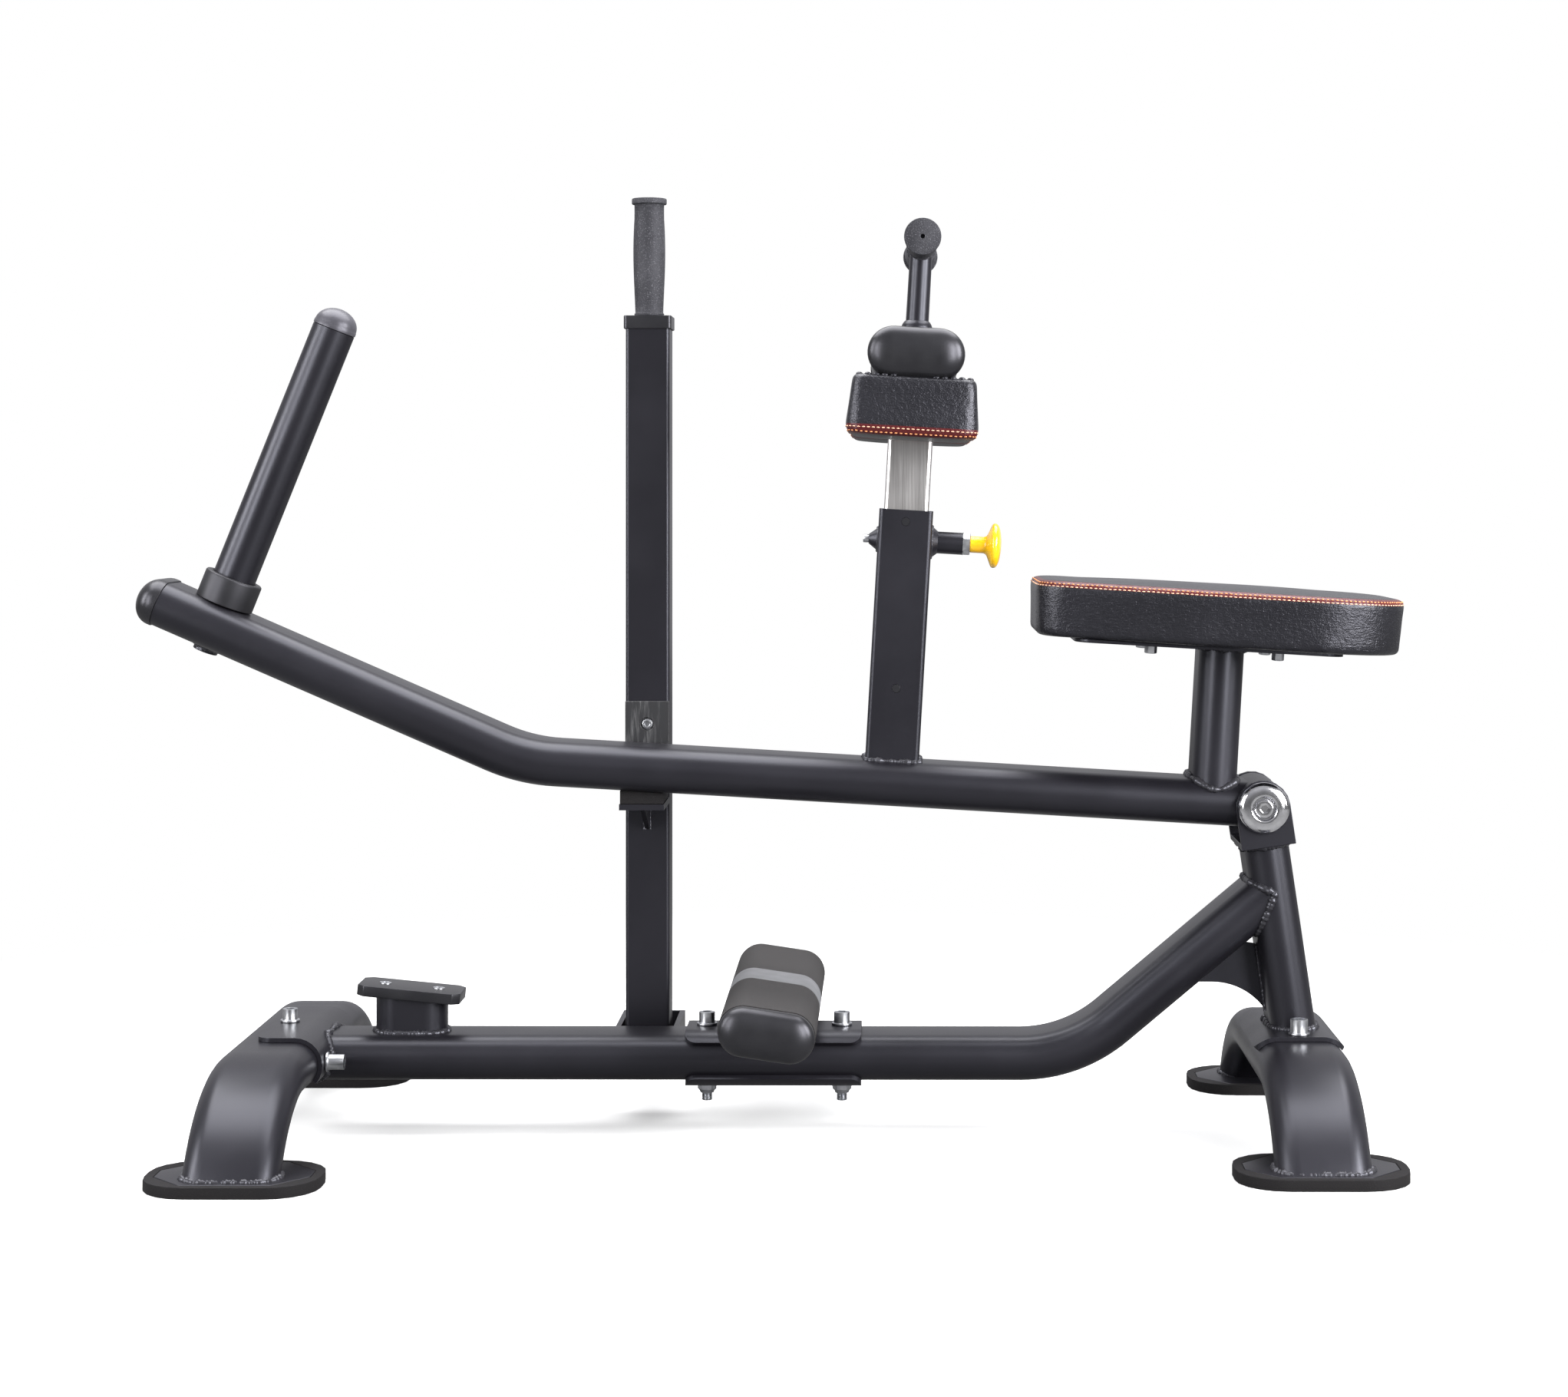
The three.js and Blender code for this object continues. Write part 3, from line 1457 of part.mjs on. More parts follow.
// The catch post, standing on its pivot bolt behind the arm.
function catchPost() {
  const half = catchPostSize / 2;
  const floor = -catchPostFoot;
  const top = catchPostTop - catchPivotHeight;
  const level = (height) => height - catchPivotHeight;
  const near = -half;
  const tube = prism(
    "z",
    roundedOutline(rectangle(catchPostSize, catchPostSize), catchPostCorner),
    floor,
    top,
  );
  const gripFoot = top + catchCapTop + 2 * seatGap;
  const gripRod = rod("z", catchRodRadius, top - cutOverrun, gripFoot + catchGripSocket - seatGap);
  const shelfEdge = -shelfAhead - catchPostY;
  const shelf = block(
    [-half, shelfEdge, level(shelfBottom)],
    [half, near + catchPostCorner, level(shelfTop)],
  );
  const finReach = (near - shelfEdge) * 0.85;
  const fin = prism(
    "x",
    [
      [near + catchPostCorner, level(shelfBottom) - shelfFinHeight],
      [near + catchPostCorner, level(shelfTop)],
      [near - finReach, level(shelfBottom) + shelfThickness / 2],
      [near - finReach, level(shelfBottom)],
      [near, level(shelfBottom) - shelfFinHeight],
    ],
    -shelfFinThickness / 2,
    shelfFinThickness / 2,
  );
  const pivotBore = rod("x", catchBoltRadius + boreClearance, -catchPostSize, catchPostSize);
  const post = cut(join(tube, gripRod, shelf, fin), pivotBore);
  const cushionTop = (x) => level(armUnderside(catchBack + x) - seatGap);
  const pad = cushionEnd;
  const cushionBlock = prism(
    "y",
    [
      [-pad, level(shelfTop) + seatGap],
      [pad, level(shelfTop) + seatGap],
      [pad, cushionTop(pad)],
      [-pad, cushionTop(-pad)],
    ],
    shelfEdge,
    near - wearPlateThickness - 2 * seatGap,
  );
  const wearBack = near - seatGap;
  const wearPlate = cut(
    block(
      [-half, wearBack - wearPlateThickness, level(wearPlateBottom)],
      [half, wearBack, level(wearPlateTop)],
    ),
    rod(
      "y",
      wearScrewRadius,
      wearBack - wearPlateThickness - cutOverrun,
      wearBack - wearPlateThickness + wearScrewDepth,
    ).translate(0, 0, level(wearPlateTop) - wearScrewDrop),
  );
  const capSkirt = top + catchCapTop + seatGap - catchCapHeight;
  const cap = cut(
    prism(
      "z",
      roundedOutline(rectangle(catchCapSize, catchCapSize), catchPostCorner),
      capSkirt,
      capSkirt + catchCapHeight,
    ),
    prism(
      "z",
      roundedOutline(
        rectangle(catchPostSize + 2 * seatGap, catchPostSize + 2 * seatGap),
        catchPostCorner,
      ),
      capSkirt - cutOverrun,
      top + seatGap,
    ),
    rod("z", catchRodRadius + seatGap, top - cutOverrun, top + catchCapHeight + cutOverrun),
  );
  const foot = { radius: gripRadius, length: gripFlangeLength / 2, waist: catchGripBase };
  const grip = handGrip(catchGripLength, catchRodRadius + seatGap, catchGripSocket, foot, 0);
  const made = group(
    piece("catch_post", post, blackPaint),
    piece("catch_cushion", cushionBlock, rubber),
    piece("wear_plate", wearPlate, blackPlastic),
    piece("catch_post_cap", cap, blackPlastic),
    piece("catch_grip", grip.translate(0, 0, gripFoot), gripRubber),
  );
  made.position.set(catchBack, catchPostY, catchPivotHeight);
  return made;
}

const machine = group(
  baseFrame(),
  bumper(),
  footrest(),
  catchBracket(),
  armPivot(),
  leverArm(),
  catchPost(),
);

// The part's origin is under the middle of its extent, on the floor.
const extent = new THREE.Box3().setFromObject(machine, true);
const middle = extent.getCenter(new THREE.Vector3());
machine.position.set(-middle.x, -middle.y, -extent.min.z);

const part = group(machine);
part.name = "seated_calf_raise_machine";
export default part;
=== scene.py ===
"""Looks of a plate-loaded seated calf raise machine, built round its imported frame."""

import json
import logging
import math
from collections.abc import Sequence
from dataclasses import dataclass, field
from enum import Enum

import bmesh
import bpy
from mathutils import Matrix, Vector
from mathutils.bvhtree import BVHTree

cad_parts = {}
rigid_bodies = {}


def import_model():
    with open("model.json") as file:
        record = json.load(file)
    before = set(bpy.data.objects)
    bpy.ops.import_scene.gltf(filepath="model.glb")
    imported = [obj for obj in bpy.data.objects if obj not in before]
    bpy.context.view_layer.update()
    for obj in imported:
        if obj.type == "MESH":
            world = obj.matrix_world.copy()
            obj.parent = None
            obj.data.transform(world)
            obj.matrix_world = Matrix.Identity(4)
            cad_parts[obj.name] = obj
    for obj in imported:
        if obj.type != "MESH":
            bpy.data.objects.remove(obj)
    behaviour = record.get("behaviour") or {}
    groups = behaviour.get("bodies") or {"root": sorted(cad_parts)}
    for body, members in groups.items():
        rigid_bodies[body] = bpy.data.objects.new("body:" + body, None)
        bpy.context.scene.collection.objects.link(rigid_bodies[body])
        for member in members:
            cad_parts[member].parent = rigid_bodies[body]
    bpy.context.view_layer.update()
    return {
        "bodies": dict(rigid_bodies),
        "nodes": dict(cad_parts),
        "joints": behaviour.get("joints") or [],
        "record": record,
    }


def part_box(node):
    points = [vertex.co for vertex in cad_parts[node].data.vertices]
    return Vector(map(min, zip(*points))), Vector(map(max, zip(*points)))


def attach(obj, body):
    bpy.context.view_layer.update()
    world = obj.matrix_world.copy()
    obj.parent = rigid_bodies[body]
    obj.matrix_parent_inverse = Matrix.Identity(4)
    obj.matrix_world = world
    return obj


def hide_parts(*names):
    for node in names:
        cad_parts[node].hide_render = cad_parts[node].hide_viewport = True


LOG = logging.getLogger("calf_raise")
MM = 0.001
TO_METRES = Matrix.Scale(MM, 4)

Colour = tuple[float, float, float]
Mesh = bmesh.types.BMesh
Outline = list[tuple[float, float]]
Seam = tuple[Sequence[Vector], bool]  # points in mm, and whether the last joins the first


def at(x: float = 0.0, y: float = 0.0, z: float = 0.0) -> Matrix:
    """A shift in millimetres."""
    return Matrix.Translation((x, y, z))


def tilt(degrees: float, axis: str) -> Matrix:
    """A turn about an axis."""
    return Matrix.Rotation(math.radians(degrees), 4, axis)


# Driving sizes in mm and radians, with the origin on the floor below the machine's middle
TUBE_WIDTH = 100.0
TUBE_HEIGHT = 50.0
TUBE_ROUND = TUBE_HEIGHT / 2  # radius of its round sides
TUBE_FLAT = TUBE_WIDTH / 2 - TUBE_ROUND  # from its middle to the centre of a round side
BASE_Z = 84.0  # axis of the base tube
LEG_Z = 88.0  # axis of both legs at their middle
LEG_BEND = 180.0
PLATE_TOP = 12.3  # of the foot plates
SADDLE_TOP = 118.6
UPRIGHT_FOOT = 118.3  # where the upright's axis starts
FRONT_LEG_X = -536.72
REAR_LEG_X = 583.28
BUMPER_X = FRONT_LEG_X + 137.0
CATCH_X = FRONT_LEG_X + 396.0
FOOTREST_X = FRONT_LEG_X + 543.0
CROSSBAR_HALF = 213.0  # half length of the crossbar's tube and of the footrest's
PIVOT = Vector((546.78, 0.0, 364.5))
REST_ANGLE = math.radians(3.3)
INCLINE_ANGLE = math.radians(20.2)
UPRIGHT_LEAN = math.radians(-8.4325)
KNEE_REACH = 411.0  # from the pivot along the arm
BEND_REACH = 820.0  # from the pivot to the arm's bend
HORN_REACH = 381.0  # from the arm's bend
HORN_FOOT = 25.3  # above the axis of the arm's inclined end
SEAT_X = -61.0  # middle of the seat on the arm
SEAT_Z = 176.5  # underside of the seat
POST_X = -52.0  # middle of the seat post on the arm
PIN_Z = 270.0  # the pull pin above the arm
PAD_Z = 440.7  # board of the thigh pads
CROSSBAR_Z = 470.0
HANDLE_Z = 599.0

# Frames of the sub-assemblies
ARM = Matrix.Translation(PIVOT) @ Matrix.Rotation(REST_ANGLE, 4, "Y")
KNEE = ARM @ at(-KNEE_REACH)
INCLINE = ARM @ at(-BEND_REACH) @ Matrix.Rotation(INCLINE_ANGLE, 4, "Y")
HORN = INCLINE @ at(-HORN_REACH, 0.0, HORN_FOOT) @ tilt(-1.6, "Y") @ at(0.0, 0.0, -HORN_FOOT)
CLEVIS = Matrix.Translation(PIVOT) @ Matrix.Rotation(UPRIGHT_LEAN, 4, "Y")
CATCH = at(CATCH_X, 80.6, 80.0)


class Body(Enum):
    """The rigid bodies of the machine."""

    BASE = "base_frame"
    ARM = "lever_arm"
    CARRIAGE = "thigh_carriage"
    PIN = "pull_pin"
    CATCH = "catch"


class Slot(Enum):
    """The record's finishes."""

    PAINT = "frame_paint"
    FOOT_RUBBER = "foot_rubber"
    GRIP_RUBBER = "grip_rubber"
    CAP_PLASTIC = "cap_plastic"
    YELLOW_PLASTIC = "yellow_plastic"
    ZINC = "zinc"
    CHROME = "bright_chrome"
    STEEL = "bare_steel"
    BRONZE = "bush_bronze"
    UPHOLSTERY = "upholstery"


# Node trees


class Wire:
    """A socket that takes part in Python expressions by adding Math nodes."""

    def __init__(self, tree: bpy.types.NodeTree, socket: bpy.types.NodeSocket) -> None:
        """Wraps an output socket of a tree."""
        self.tree = tree
        self.socket = socket

    def _math(self, operation: str, *values: "Wire | float", clamp: bool = False) -> "Wire":
        """Adds one Math node.

        Args:
            operation: the node's operation.
            *values: its inputs, as wires or numbers.
            clamp: whether the result stays within 0 and 1.

        Returns:
            The node's result.
        """
        made = self.tree.nodes.new("ShaderNodeMath")
        made.operation = operation
        made.use_clamp = clamp
        for slot, value in zip(made.inputs, values):
            if isinstance(value, Wire):
                self.tree.links.new(value.socket, slot)
            else:
                slot.default_value = value
        return Wire(self.tree, made.outputs[0])

    def __add__(self, other: "Wire | float") -> "Wire":
        """Sum."""
        return self._math("ADD", self, other)

    __radd__ = __add__

    def __sub__(self, other: "Wire | float") -> "Wire":
        """Difference."""
        return self._math("SUBTRACT", self, other)

    def __rsub__(self, other: float) -> "Wire":
        """Difference from a number."""
        return self._math("SUBTRACT", other, self)

    def __mul__(self, other: "Wire | float") -> "Wire":
        """Product."""
        return self._math("MULTIPLY", self, other)

    __rmul__ = __mul__

    def __abs__(self) -> "Wire":
        """Size without its sign."""
        return self._math("ABSOLUTE", self)

    def above(self, edge: float) -> "Wire":
        """One where this is more than an edge, and else zero."""
        return self._math("GREATER_THAN", self, edge)

    def clamped(self) -> "Wire":
        """This, kept within 0 and 1."""
        return self._math("ADD", self, 0.0, clamp=True)

    def ramp(self, low: float, high: float) -> "Wire":
        """Zero below low, one above high and a straight climb between them."""
        scale = 1.0 / (high - low)
        return self._math("MULTIPLY_ADD", self, scale, -low * scale, clamp=True)


class Graph:
    """A node tree under construction."""

    def __init__(self, tree: bpy.types.NodeTree) -> None:
        """Wraps a tree and empties it."""
        self.tree = tree
        tree.nodes.clear()

    def plug(self, slot: bpy.types.NodeSocket, value: object) -> None:
        """Links a wire, a socket or a node's first output to an input, or sets its value."""
        if isinstance(value, Wire):
            value = value.socket
        elif isinstance(value, bpy.types.Node):
            value = value.outputs[0]
        if isinstance(value, bpy.types.NodeSocket):
            self.tree.links.new(value, slot)
        elif slot.type == "RGBA":
            slot.default_value = (*value, 1.0)
        else:
            slot.default_value = value

    def node(
        self, kind: str, *first: object, settings: dict[str, object] | None = None, **named: object
    ) -> bpy.types.Node:
        """Adds any node.

        Args:
            kind: the node's type.
            *first: what goes into its first inputs, in their order.
            settings: attributes that are set before the sockets.
            **named: what goes into inputs by their names, spaces as underscores.

        Returns:
            The new node.
        """
        made = self.tree.nodes.new(kind)
        for name, value in (settings or {}).items():
            setattr(made, name, value)
        for slot, value in zip(made.inputs, first):
            self.plug(slot, value)
        for name, value in named.items():
            self.plug(made.inputs[name.replace("_", " ")], value)
        return made

    def wire(self, node: bpy.types.Node, output: int | str = 0) -> Wire:
        """An output of a node as a wire."""
        return Wire(self.tree, node.outputs[output])


class Shader(Graph):
    """One material under construction, with a Principled shader."""

    def __init__(self, name: str) -> None:
        """Starts a material under a name."""
        self.material = bpy.data.materials.new(name)
        self.material.use_nodes = True
        super().__init__(self.material.node_tree)
        self.principled = self.node("ShaderNodeBsdfPrincipled")
        self.node("ShaderNodeOutputMaterial", self.principled)
        self.place = self.wire(self.node("ShaderNodeTexCoord"), "Object")

    def stretched(self, scale: Sequence[float], turn: Sequence[float] = (0, 0, 0)) -> Wire:
        """Object coordinates, turned and scaled by axis."""
        return self.wire(self.node("ShaderNodeMapping", Vector=self.place, Scale=scale, Rotation=turn))

    def noise(self, scale: float, detail: float = 2.0, place: Wire | None = None) -> Wire:
        """Cloudy noise from 0 to 1, with its scale in cells per metre."""
        made = self.node("ShaderNodeTexNoise", Vector=place or self.place, Scale=scale, Detail=detail)
        return self.wire(made, "Fac")

    def cells(self, scale: float) -> Wire:
        """Distance to the nearest cell centre, with its scale in cells per metre."""
        made = self.node("ShaderNodeTexVoronoi", Vector=self.place, Scale=scale)
        return self.wire(made, "Distance")

    def along(self, direction: Vector, origin: Vector) -> Wire:
        """Metres along a unit direction from an origin in metres."""
        less = {"operation": "SUBTRACT"}
        shifted = self.node("ShaderNodeVectorMath", self.place, origin, settings=less)
        dot = {"operation": "DOT_PRODUCT"}
        made = self.node("ShaderNodeVectorMath", shifted, direction, settings=dot)
        return self.wire(made, "Value")

    def mix(self, amount: Wire, low: Wire | Colour, high: Wire | Colour) -> Wire:
        """Blends two colours by an amount."""
        made = self.node("ShaderNodeMix", amount, settings={"data_type": "RGBA"})
        self.plug(made.inputs[6], low)
        self.plug(made.inputs[7], high)
        return self.wire(made, 2)

    def relief(self, height: Wire, depth: float, strength: float) -> None:
        """Sends a height to the normal, its full range being a depth in metres."""
        bump = self.node("ShaderNodeBump", Height=height, Distance=depth, Strength=strength)
        self.dress(Normal=bump)

    def dress(self, **values: object) -> None:
        """Sets or links the Principled shader's sockets, spaces as underscores."""
        for name, value in values.items():
            self.plug(self.principled.inputs[name.replace("_", " ")], value)


# Finishes


@dataclass(frozen=True)
class Finish:
    """A material with the record's slot that it stands for."""

    material: bpy.types.Material
    slot: Slot


class Look:
    """How a finish of the machine looks."""

    def finish(self, name: str, slot: Slot) -> Finish:
        """Builds the material.

        Args:
            name: the material's name.
            slot: the record's slot that it stands for.

        Returns:
            The finish.
        """
        shader = Shader(name)
        self.paint(shader)
        return Finish(shader.material, slot)

    def paint(self, shader: Shader) -> None:
        """Wires up the shader."""
        raise NotImplementedError


@dataclass(frozen=True)
class PowderCoat(Look):
    """Satin powder coat with its fine orange peel and a little dust."""

    color: Colour = (0.0072, 0.0067, 0.0088)
    dusty: Colour = (0.0115, 0.0108, 0.0140)
    roughness: float = 0.34
    peel: float = 650.0
    tint: Colour = (0.86, 0.87, 1.0)

    def paint(self, shader: Shader) -> None:
        """Wires up the shader."""
        dust = shader.noise(9.0, 4.0).ramp(0.42, 0.75)
        specks = shader.noise(2600.0, 1.0).ramp(0.62, 0.74)
        peel = shader.noise(self.peel)
        shader.dress(
            Base_Color=shader.mix(dust * 0.6 + specks * 0.4, self.color, self.dusty),
            Roughness=peel * 0.10 + dust * 0.06 + (self.roughness - 0.05),
            Specular_Tint=self.tint,
        )
        shader.relief(peel + shader.noise(self.peel * 3.1, 1.0) * 0.3, 0.00008, 0.3)


@dataclass(frozen=True)
class MouldedPlastic(Look):
    """Satin moulded plastic with a faint spark-eroded grain."""

    color: Colour = (0.0085, 0.0085, 0.0095)
    roughness: float = 0.34
    grain: float = 1400.0
    tint: Colour = (0.90, 0.89, 1.0)

    def paint(self, shader: Shader) -> None:
        """Wires up the shader."""
        cloud = shader.noise(30.0, 3.0)
        pale = tuple(value * 1.35 + 0.004 for value in self.color)
        grain = shader.noise(self.grain)
        shader.dress(
            Base_Color=shader.mix(cloud.ramp(0.35, 0.75), self.color, pale),
            Roughness=grain * 0.12 + cloud * 0.06 + (self.roughness - 0.09),
            Specular_Tint=self.tint,
        )
        shader.relief(grain, 0.0001, 0.3)


@dataclass(frozen=True)
class SpeckledRubber(Look):
    """Rubber with pale specks of talc and a pebbled surface."""

    color: Colour
    speck: Colour
    roughness: float = 0.78
    pebble: float = 700.0
    depth: float = 0.0002
    tint: Colour = (0.90, 0.89, 1.0)

    def paint(self, shader: Shader) -> None:
        """Wires up the shader."""
        pebble = shader.cells(self.pebble)
        specks = shader.noise(self.pebble * 1.7).ramp(0.58, 0.78)
        cloud = shader.noise(26.0, 3.0).ramp(0.3, 0.8)
        shader.dress(
            Base_Color=shader.mix(specks * 0.8 + cloud * 0.2, self.color, self.speck),
            Roughness=self.roughness + (cloud - 0.5) * 0.1,
            Specular_IOR_Level=0.28,
            Specular_Tint=self.tint,
        )
        shader.relief(pebble + shader.noise(90.0, 3.0) * 0.4, self.depth, 0.6)


@dataclass(frozen=True)
class BrushedSteel(Look):
    """Bare steel with brush lines along the length of the sliding post."""

    color: Colour = (0.82, 0.80, 0.79)
    dark: Colour = (0.58, 0.56, 0.55)
    roughness: float = 0.32
    across: float = 1300.0
    lengthwise: float = 14.0

    def paint(self, shader: Shader) -> None:
        """Wires up the shader."""
        stretch = (self.across, self.across, self.lengthwise)
        lines = shader.noise(1.0, 3.0, shader.stretched(stretch, (0.0, -REST_ANGLE, 0.0)))
        cloud = shader.noise(22.0, 3.0)
        shader.dress(
            Base_Color=shader.mix(lines.ramp(0.3, 0.7) * 0.7 + cloud * 0.3, self.dark, self.color),
            Metallic=1.0,
            Roughness=lines * 0.16 + cloud * 0.08 + (self.roughness - 0.12),
        )
        shader.relief(lines, 0.00005, 0.5)


@dataclass(frozen=True)
class PlatedMetal(Look):
    """Polished or plated metal with faint clouds in its surface."""

    color: Colour
    dull: Colour
    roughness: float

    def paint(self, shader: Shader) -> None:
        """Wires up the shader."""
        cloud = shader.noise(120.0, 4.0)
        fine = shader.noise(1500.0)
        shader.dress(
            Base_Color=shader.mix(cloud.ramp(0.35, 0.7), self.dull, self.color),
            Metallic=1.0,
            Roughness=cloud * 0.08 + fine * 0.04 + self.roughness - 0.04,
        )
        shader.relief(fine, 0.00004, 0.2)


@dataclass(frozen=True)
class GlossPlastic(Look):
    """Bright gloss moulding."""

    color: Colour
    deep: Colour

    def paint(self, shader: Shader) -> None:
        """Wires up the shader."""
        cloud = shader.noise(60.0, 3.0)
        shader.dress(
            Base_Color=shader.mix(cloud.ramp(0.3, 0.75), self.color, self.deep),
            Roughness=cloud * 0.08 + 0.16,
            Coat_Weight=0.5,
            Coat_Roughness=0.08,
        )
        shader.relief(shader.noise(400.0), 0.00005, 0.25)


@dataclass(frozen=True)
class Leatherette(Look):
    """Grained vinyl with creases, and a red band at a height of its cushion."""

    origin: Vector
    up: Vector
    band: tuple[float, float]  # metres above the origin
    color: Colour = (0.0052, 0.0051, 0.0066)
    sheen: Colour = (0.0105, 0.0103, 0.0130)
    red: Colour = (0.072, 0.0050, 0.0045)
    tint: Colour = (0.88, 0.88, 1.0)
    grain: float = 640.0

    def paint(self, shader: Shader) -> None:
        """Wires up the shader."""
        height = shader.along(self.up, self.origin)
        low, high = self.band
        band = height.above(low) * (1.0 - height.above(high))
        cloud = shader.noise(14.0, 4.0)
        grain = shader.cells(self.grain)
        black = shader.mix(cloud.ramp(0.4, 0.75), self.color, self.sheen)
        creases = shader.noise(1.0, 3.0, shader.stretched((150.0, 150.0, 430.0))).ramp(0.5, 0.72)
        puckers = shader.noise(1.0, 3.0, shader.stretched((210.0, 210.0, 150.0))).ramp(0.35, 0.8)
        shader.dress(
            Base_Color=shader.mix(band, black, self.red),
            Roughness=grain * 0.10 + cloud * 0.03 + 0.29,
            Specular_Tint=self.tint,
            Coat_Weight=0.06,
            Coat_Roughness=0.25,
        )
        shader.relief(grain * 0.30 + creases * 0.36 + puckers * 0.36, 0.0009, 0.8)


@dataclass(frozen=True)
class TreadRubber(Look):
    """Gritty tread wrapped over the footrest, with a pale band at its middle."""

    color: Colour = (0.015, 0.0135, 0.014)
    grit: Colour = (0.060, 0.054, 0.056)
    pale: Colour = (0.165, 0.167, 0.178)
    half_band: float = 0.035

    def paint(self, shader: Shader) -> None:
        """Wires up the shader."""
        from_middle = abs(shader.along(Vector((0.0, 1.0, 0.0)), Vector()))
        band = 1.0 - from_middle.above(self.half_band)
        grit = shader.noise(1900.0)
        cloud = shader.noise(40.0, 4.0)
        dark = shader.mix(grit.ramp(0.5, 0.72), self.color, self.grit)
        dirty = tuple(value * 0.78 for value in self.pale)
        worn = shader.mix(cloud.ramp(0.35, 0.7), self.pale, dirty)
        shader.dress(
            Base_Color=shader.mix(band, dark, worn), Roughness=0.88 - band * 0.28 + cloud * 0.06
        )
        shader.relief(grit * (1.0 - band * 0.8), 0.00045, 0.8)


@dataclass(frozen=True)
class ScuffedPlastic(Look):
    """Wear plate rubbed by the arm: dark plastic with pale vertical scuffs."""

    color: Colour = (0.024, 0.024, 0.026)
    scuff: Colour = (0.15, 0.15, 0.155)

    def paint(self, shader: Shader) -> None:
        """Wires up the shader."""
        streaks = shader.noise(1.0, 4.0, shader.stretched((190.0, 190.0, 24.0)))
        fine = shader.noise(1.0, 2.0, shader.stretched((1500.0, 1500.0, 60.0)))
        worn = (streaks.ramp(0.50, 0.68) * fine.ramp(0.35, 0.7)).clamped()
        shader.dress(
            Base_Color=shader.mix(worn * 0.75, self.color, self.scuff), Roughness=0.34 + worn * 0.3
        )
        shader.relief(fine + streaks, 0.0001, 0.4)


@dataclass(frozen=True)
class Thread(Look):
    """Waxed stitching thread, darker in the grooves of its twist as painted shade."""

    color: Colour

    def paint(self, shader: Shader) -> None:
        """Wires up the shader."""
        twist = shader.noise(2400.0)
        # deep is painted shade: the colour darkens where the twist's bump is low, in its grooves.
        deep = tuple(value * 0.55 for value in self.color)
        shader.dress(Base_Color=shader.mix(twist.ramp(0.3, 0.7), deep, self.color), Roughness=0.55)
        shader.relief(twist, 0.0001, 0.4)


class Palette:
    """All the finishes of the machine, made once."""

    def __init__(self) -> None:
        """Builds each material."""
        up = (ARM.to_3x3() @ Vector((0, 0, 1))).normalized()
        seat = (ARM @ Vector((SEAT_X, 0.0, SEAT_Z))) * MM
        pad = (KNEE @ Vector((0.0, 0.0, PAD_Z))) * MM
        sole = SpeckledRubber((0.0065, 0.0058, 0.0054), (0.022, 0.020, 0.018))
        grip = SpeckledRubber((0.019, 0.019, 0.022), (0.20, 0.20, 0.22), 0.6, 520.0, 0.00035)
        self.paint = PowderCoat().finish("satin_powder_coat", Slot.PAINT)
        # The weld beads carry the frame's own powder coat; their lighter colours are a painted
        # highlight, so that the beads catch light.
        self.weld = PowderCoat((0.022, 0.0215, 0.025), (0.04, 0.039, 0.043), 0.28).finish(
            "weld_coat_painted_highlight", Slot.PAINT
        )
        self.plastic = MouldedPlastic().finish("moulded_cap", Slot.CAP_PLASTIC)
        self.pale_plastic = MouldedPlastic((0.048, 0.047, 0.055), 0.38).finish(
            "horn_cap_moulding", Slot.CAP_PLASTIC
        )
        self.collar = MouldedPlastic((0.006, 0.006, 0.0065), 0.46).finish(
            "collar_moulding", Slot.CAP_PLASTIC
        )
        self.wear = ScuffedPlastic().finish("wear_plate_plastic", Slot.CAP_PLASTIC)
        self.bumper = Finish(self.plastic.material, Slot.FOOT_RUBBER)
        self.sole = sole.finish("foot_rubber", Slot.FOOT_RUBBER)
        self.tread = TreadRubber().finish("footrest_tread", Slot.FOOT_RUBBER)
        self.grip = grip.finish("grip_rubber", Slot.GRIP_RUBBER)
        self.steel = BrushedSteel().finish("brushed_post", Slot.STEEL)
        self.chrome = PlatedMetal((0.80, 0.80, 0.82), (0.66, 0.66, 0.69), 0.10).finish(
            "polished_chrome", Slot.CHROME
        )
        self.zinc = PlatedMetal((0.66, 0.67, 0.69), (0.42, 0.43, 0.46), 0.28).finish(
            "zinc_plate", Slot.ZINC
        )
        self.pin_rod = Finish(self.zinc.material, Slot.YELLOW_PLASTIC)
        self.bronze = PlatedMetal((0.50, 0.33, 0.13), (0.36, 0.22, 0.08), 0.35).finish(
            "sintered_bronze", Slot.BRONZE
        )
        self.yellow = GlossPlastic((1.0, 0.62, 0.016), (0.98, 0.50, 0.008)).finish(
            "yellow_knob", Slot.YELLOW_PLASTIC
        )
        self.seat_cover = Leatherette(seat, up, (0.0545, 0.0609)).finish(
            "seat_leatherette", Slot.UPHOLSTERY
        )
        self.pad_cover = Leatherette(pad, -up, (0.0478, 0.0585)).finish(
            "thigh_pad_leatherette", Slot.UPHOLSTERY
        )
        self.thread = Thread((1.0, 0.40, 0.16)).finish("orange_thread", Slot.UPHOLSTERY)
        self.pale_thread = Thread((1.0, 0.60, 0.40)).finish("pale_orange_thread", Slot.UPHOLSTERY)


# Shapes


def shown(name: str, data: bpy.types.ID) -> bpy.types.Object:
    """Makes an object of the scene from its data."""
    made = bpy.data.objects.new(name, data)
    bpy.context.scene.collection.objects.link(made)
    return made


def linked(name: str, mesh: Mesh) -> bpy.types.Object:
    """Turns geometry, which is used up, into an object of the scene."""
    data = bpy.data.meshes.new(name)
    mesh.to_mesh(data)
    mesh.free()
    return shown(name, data)


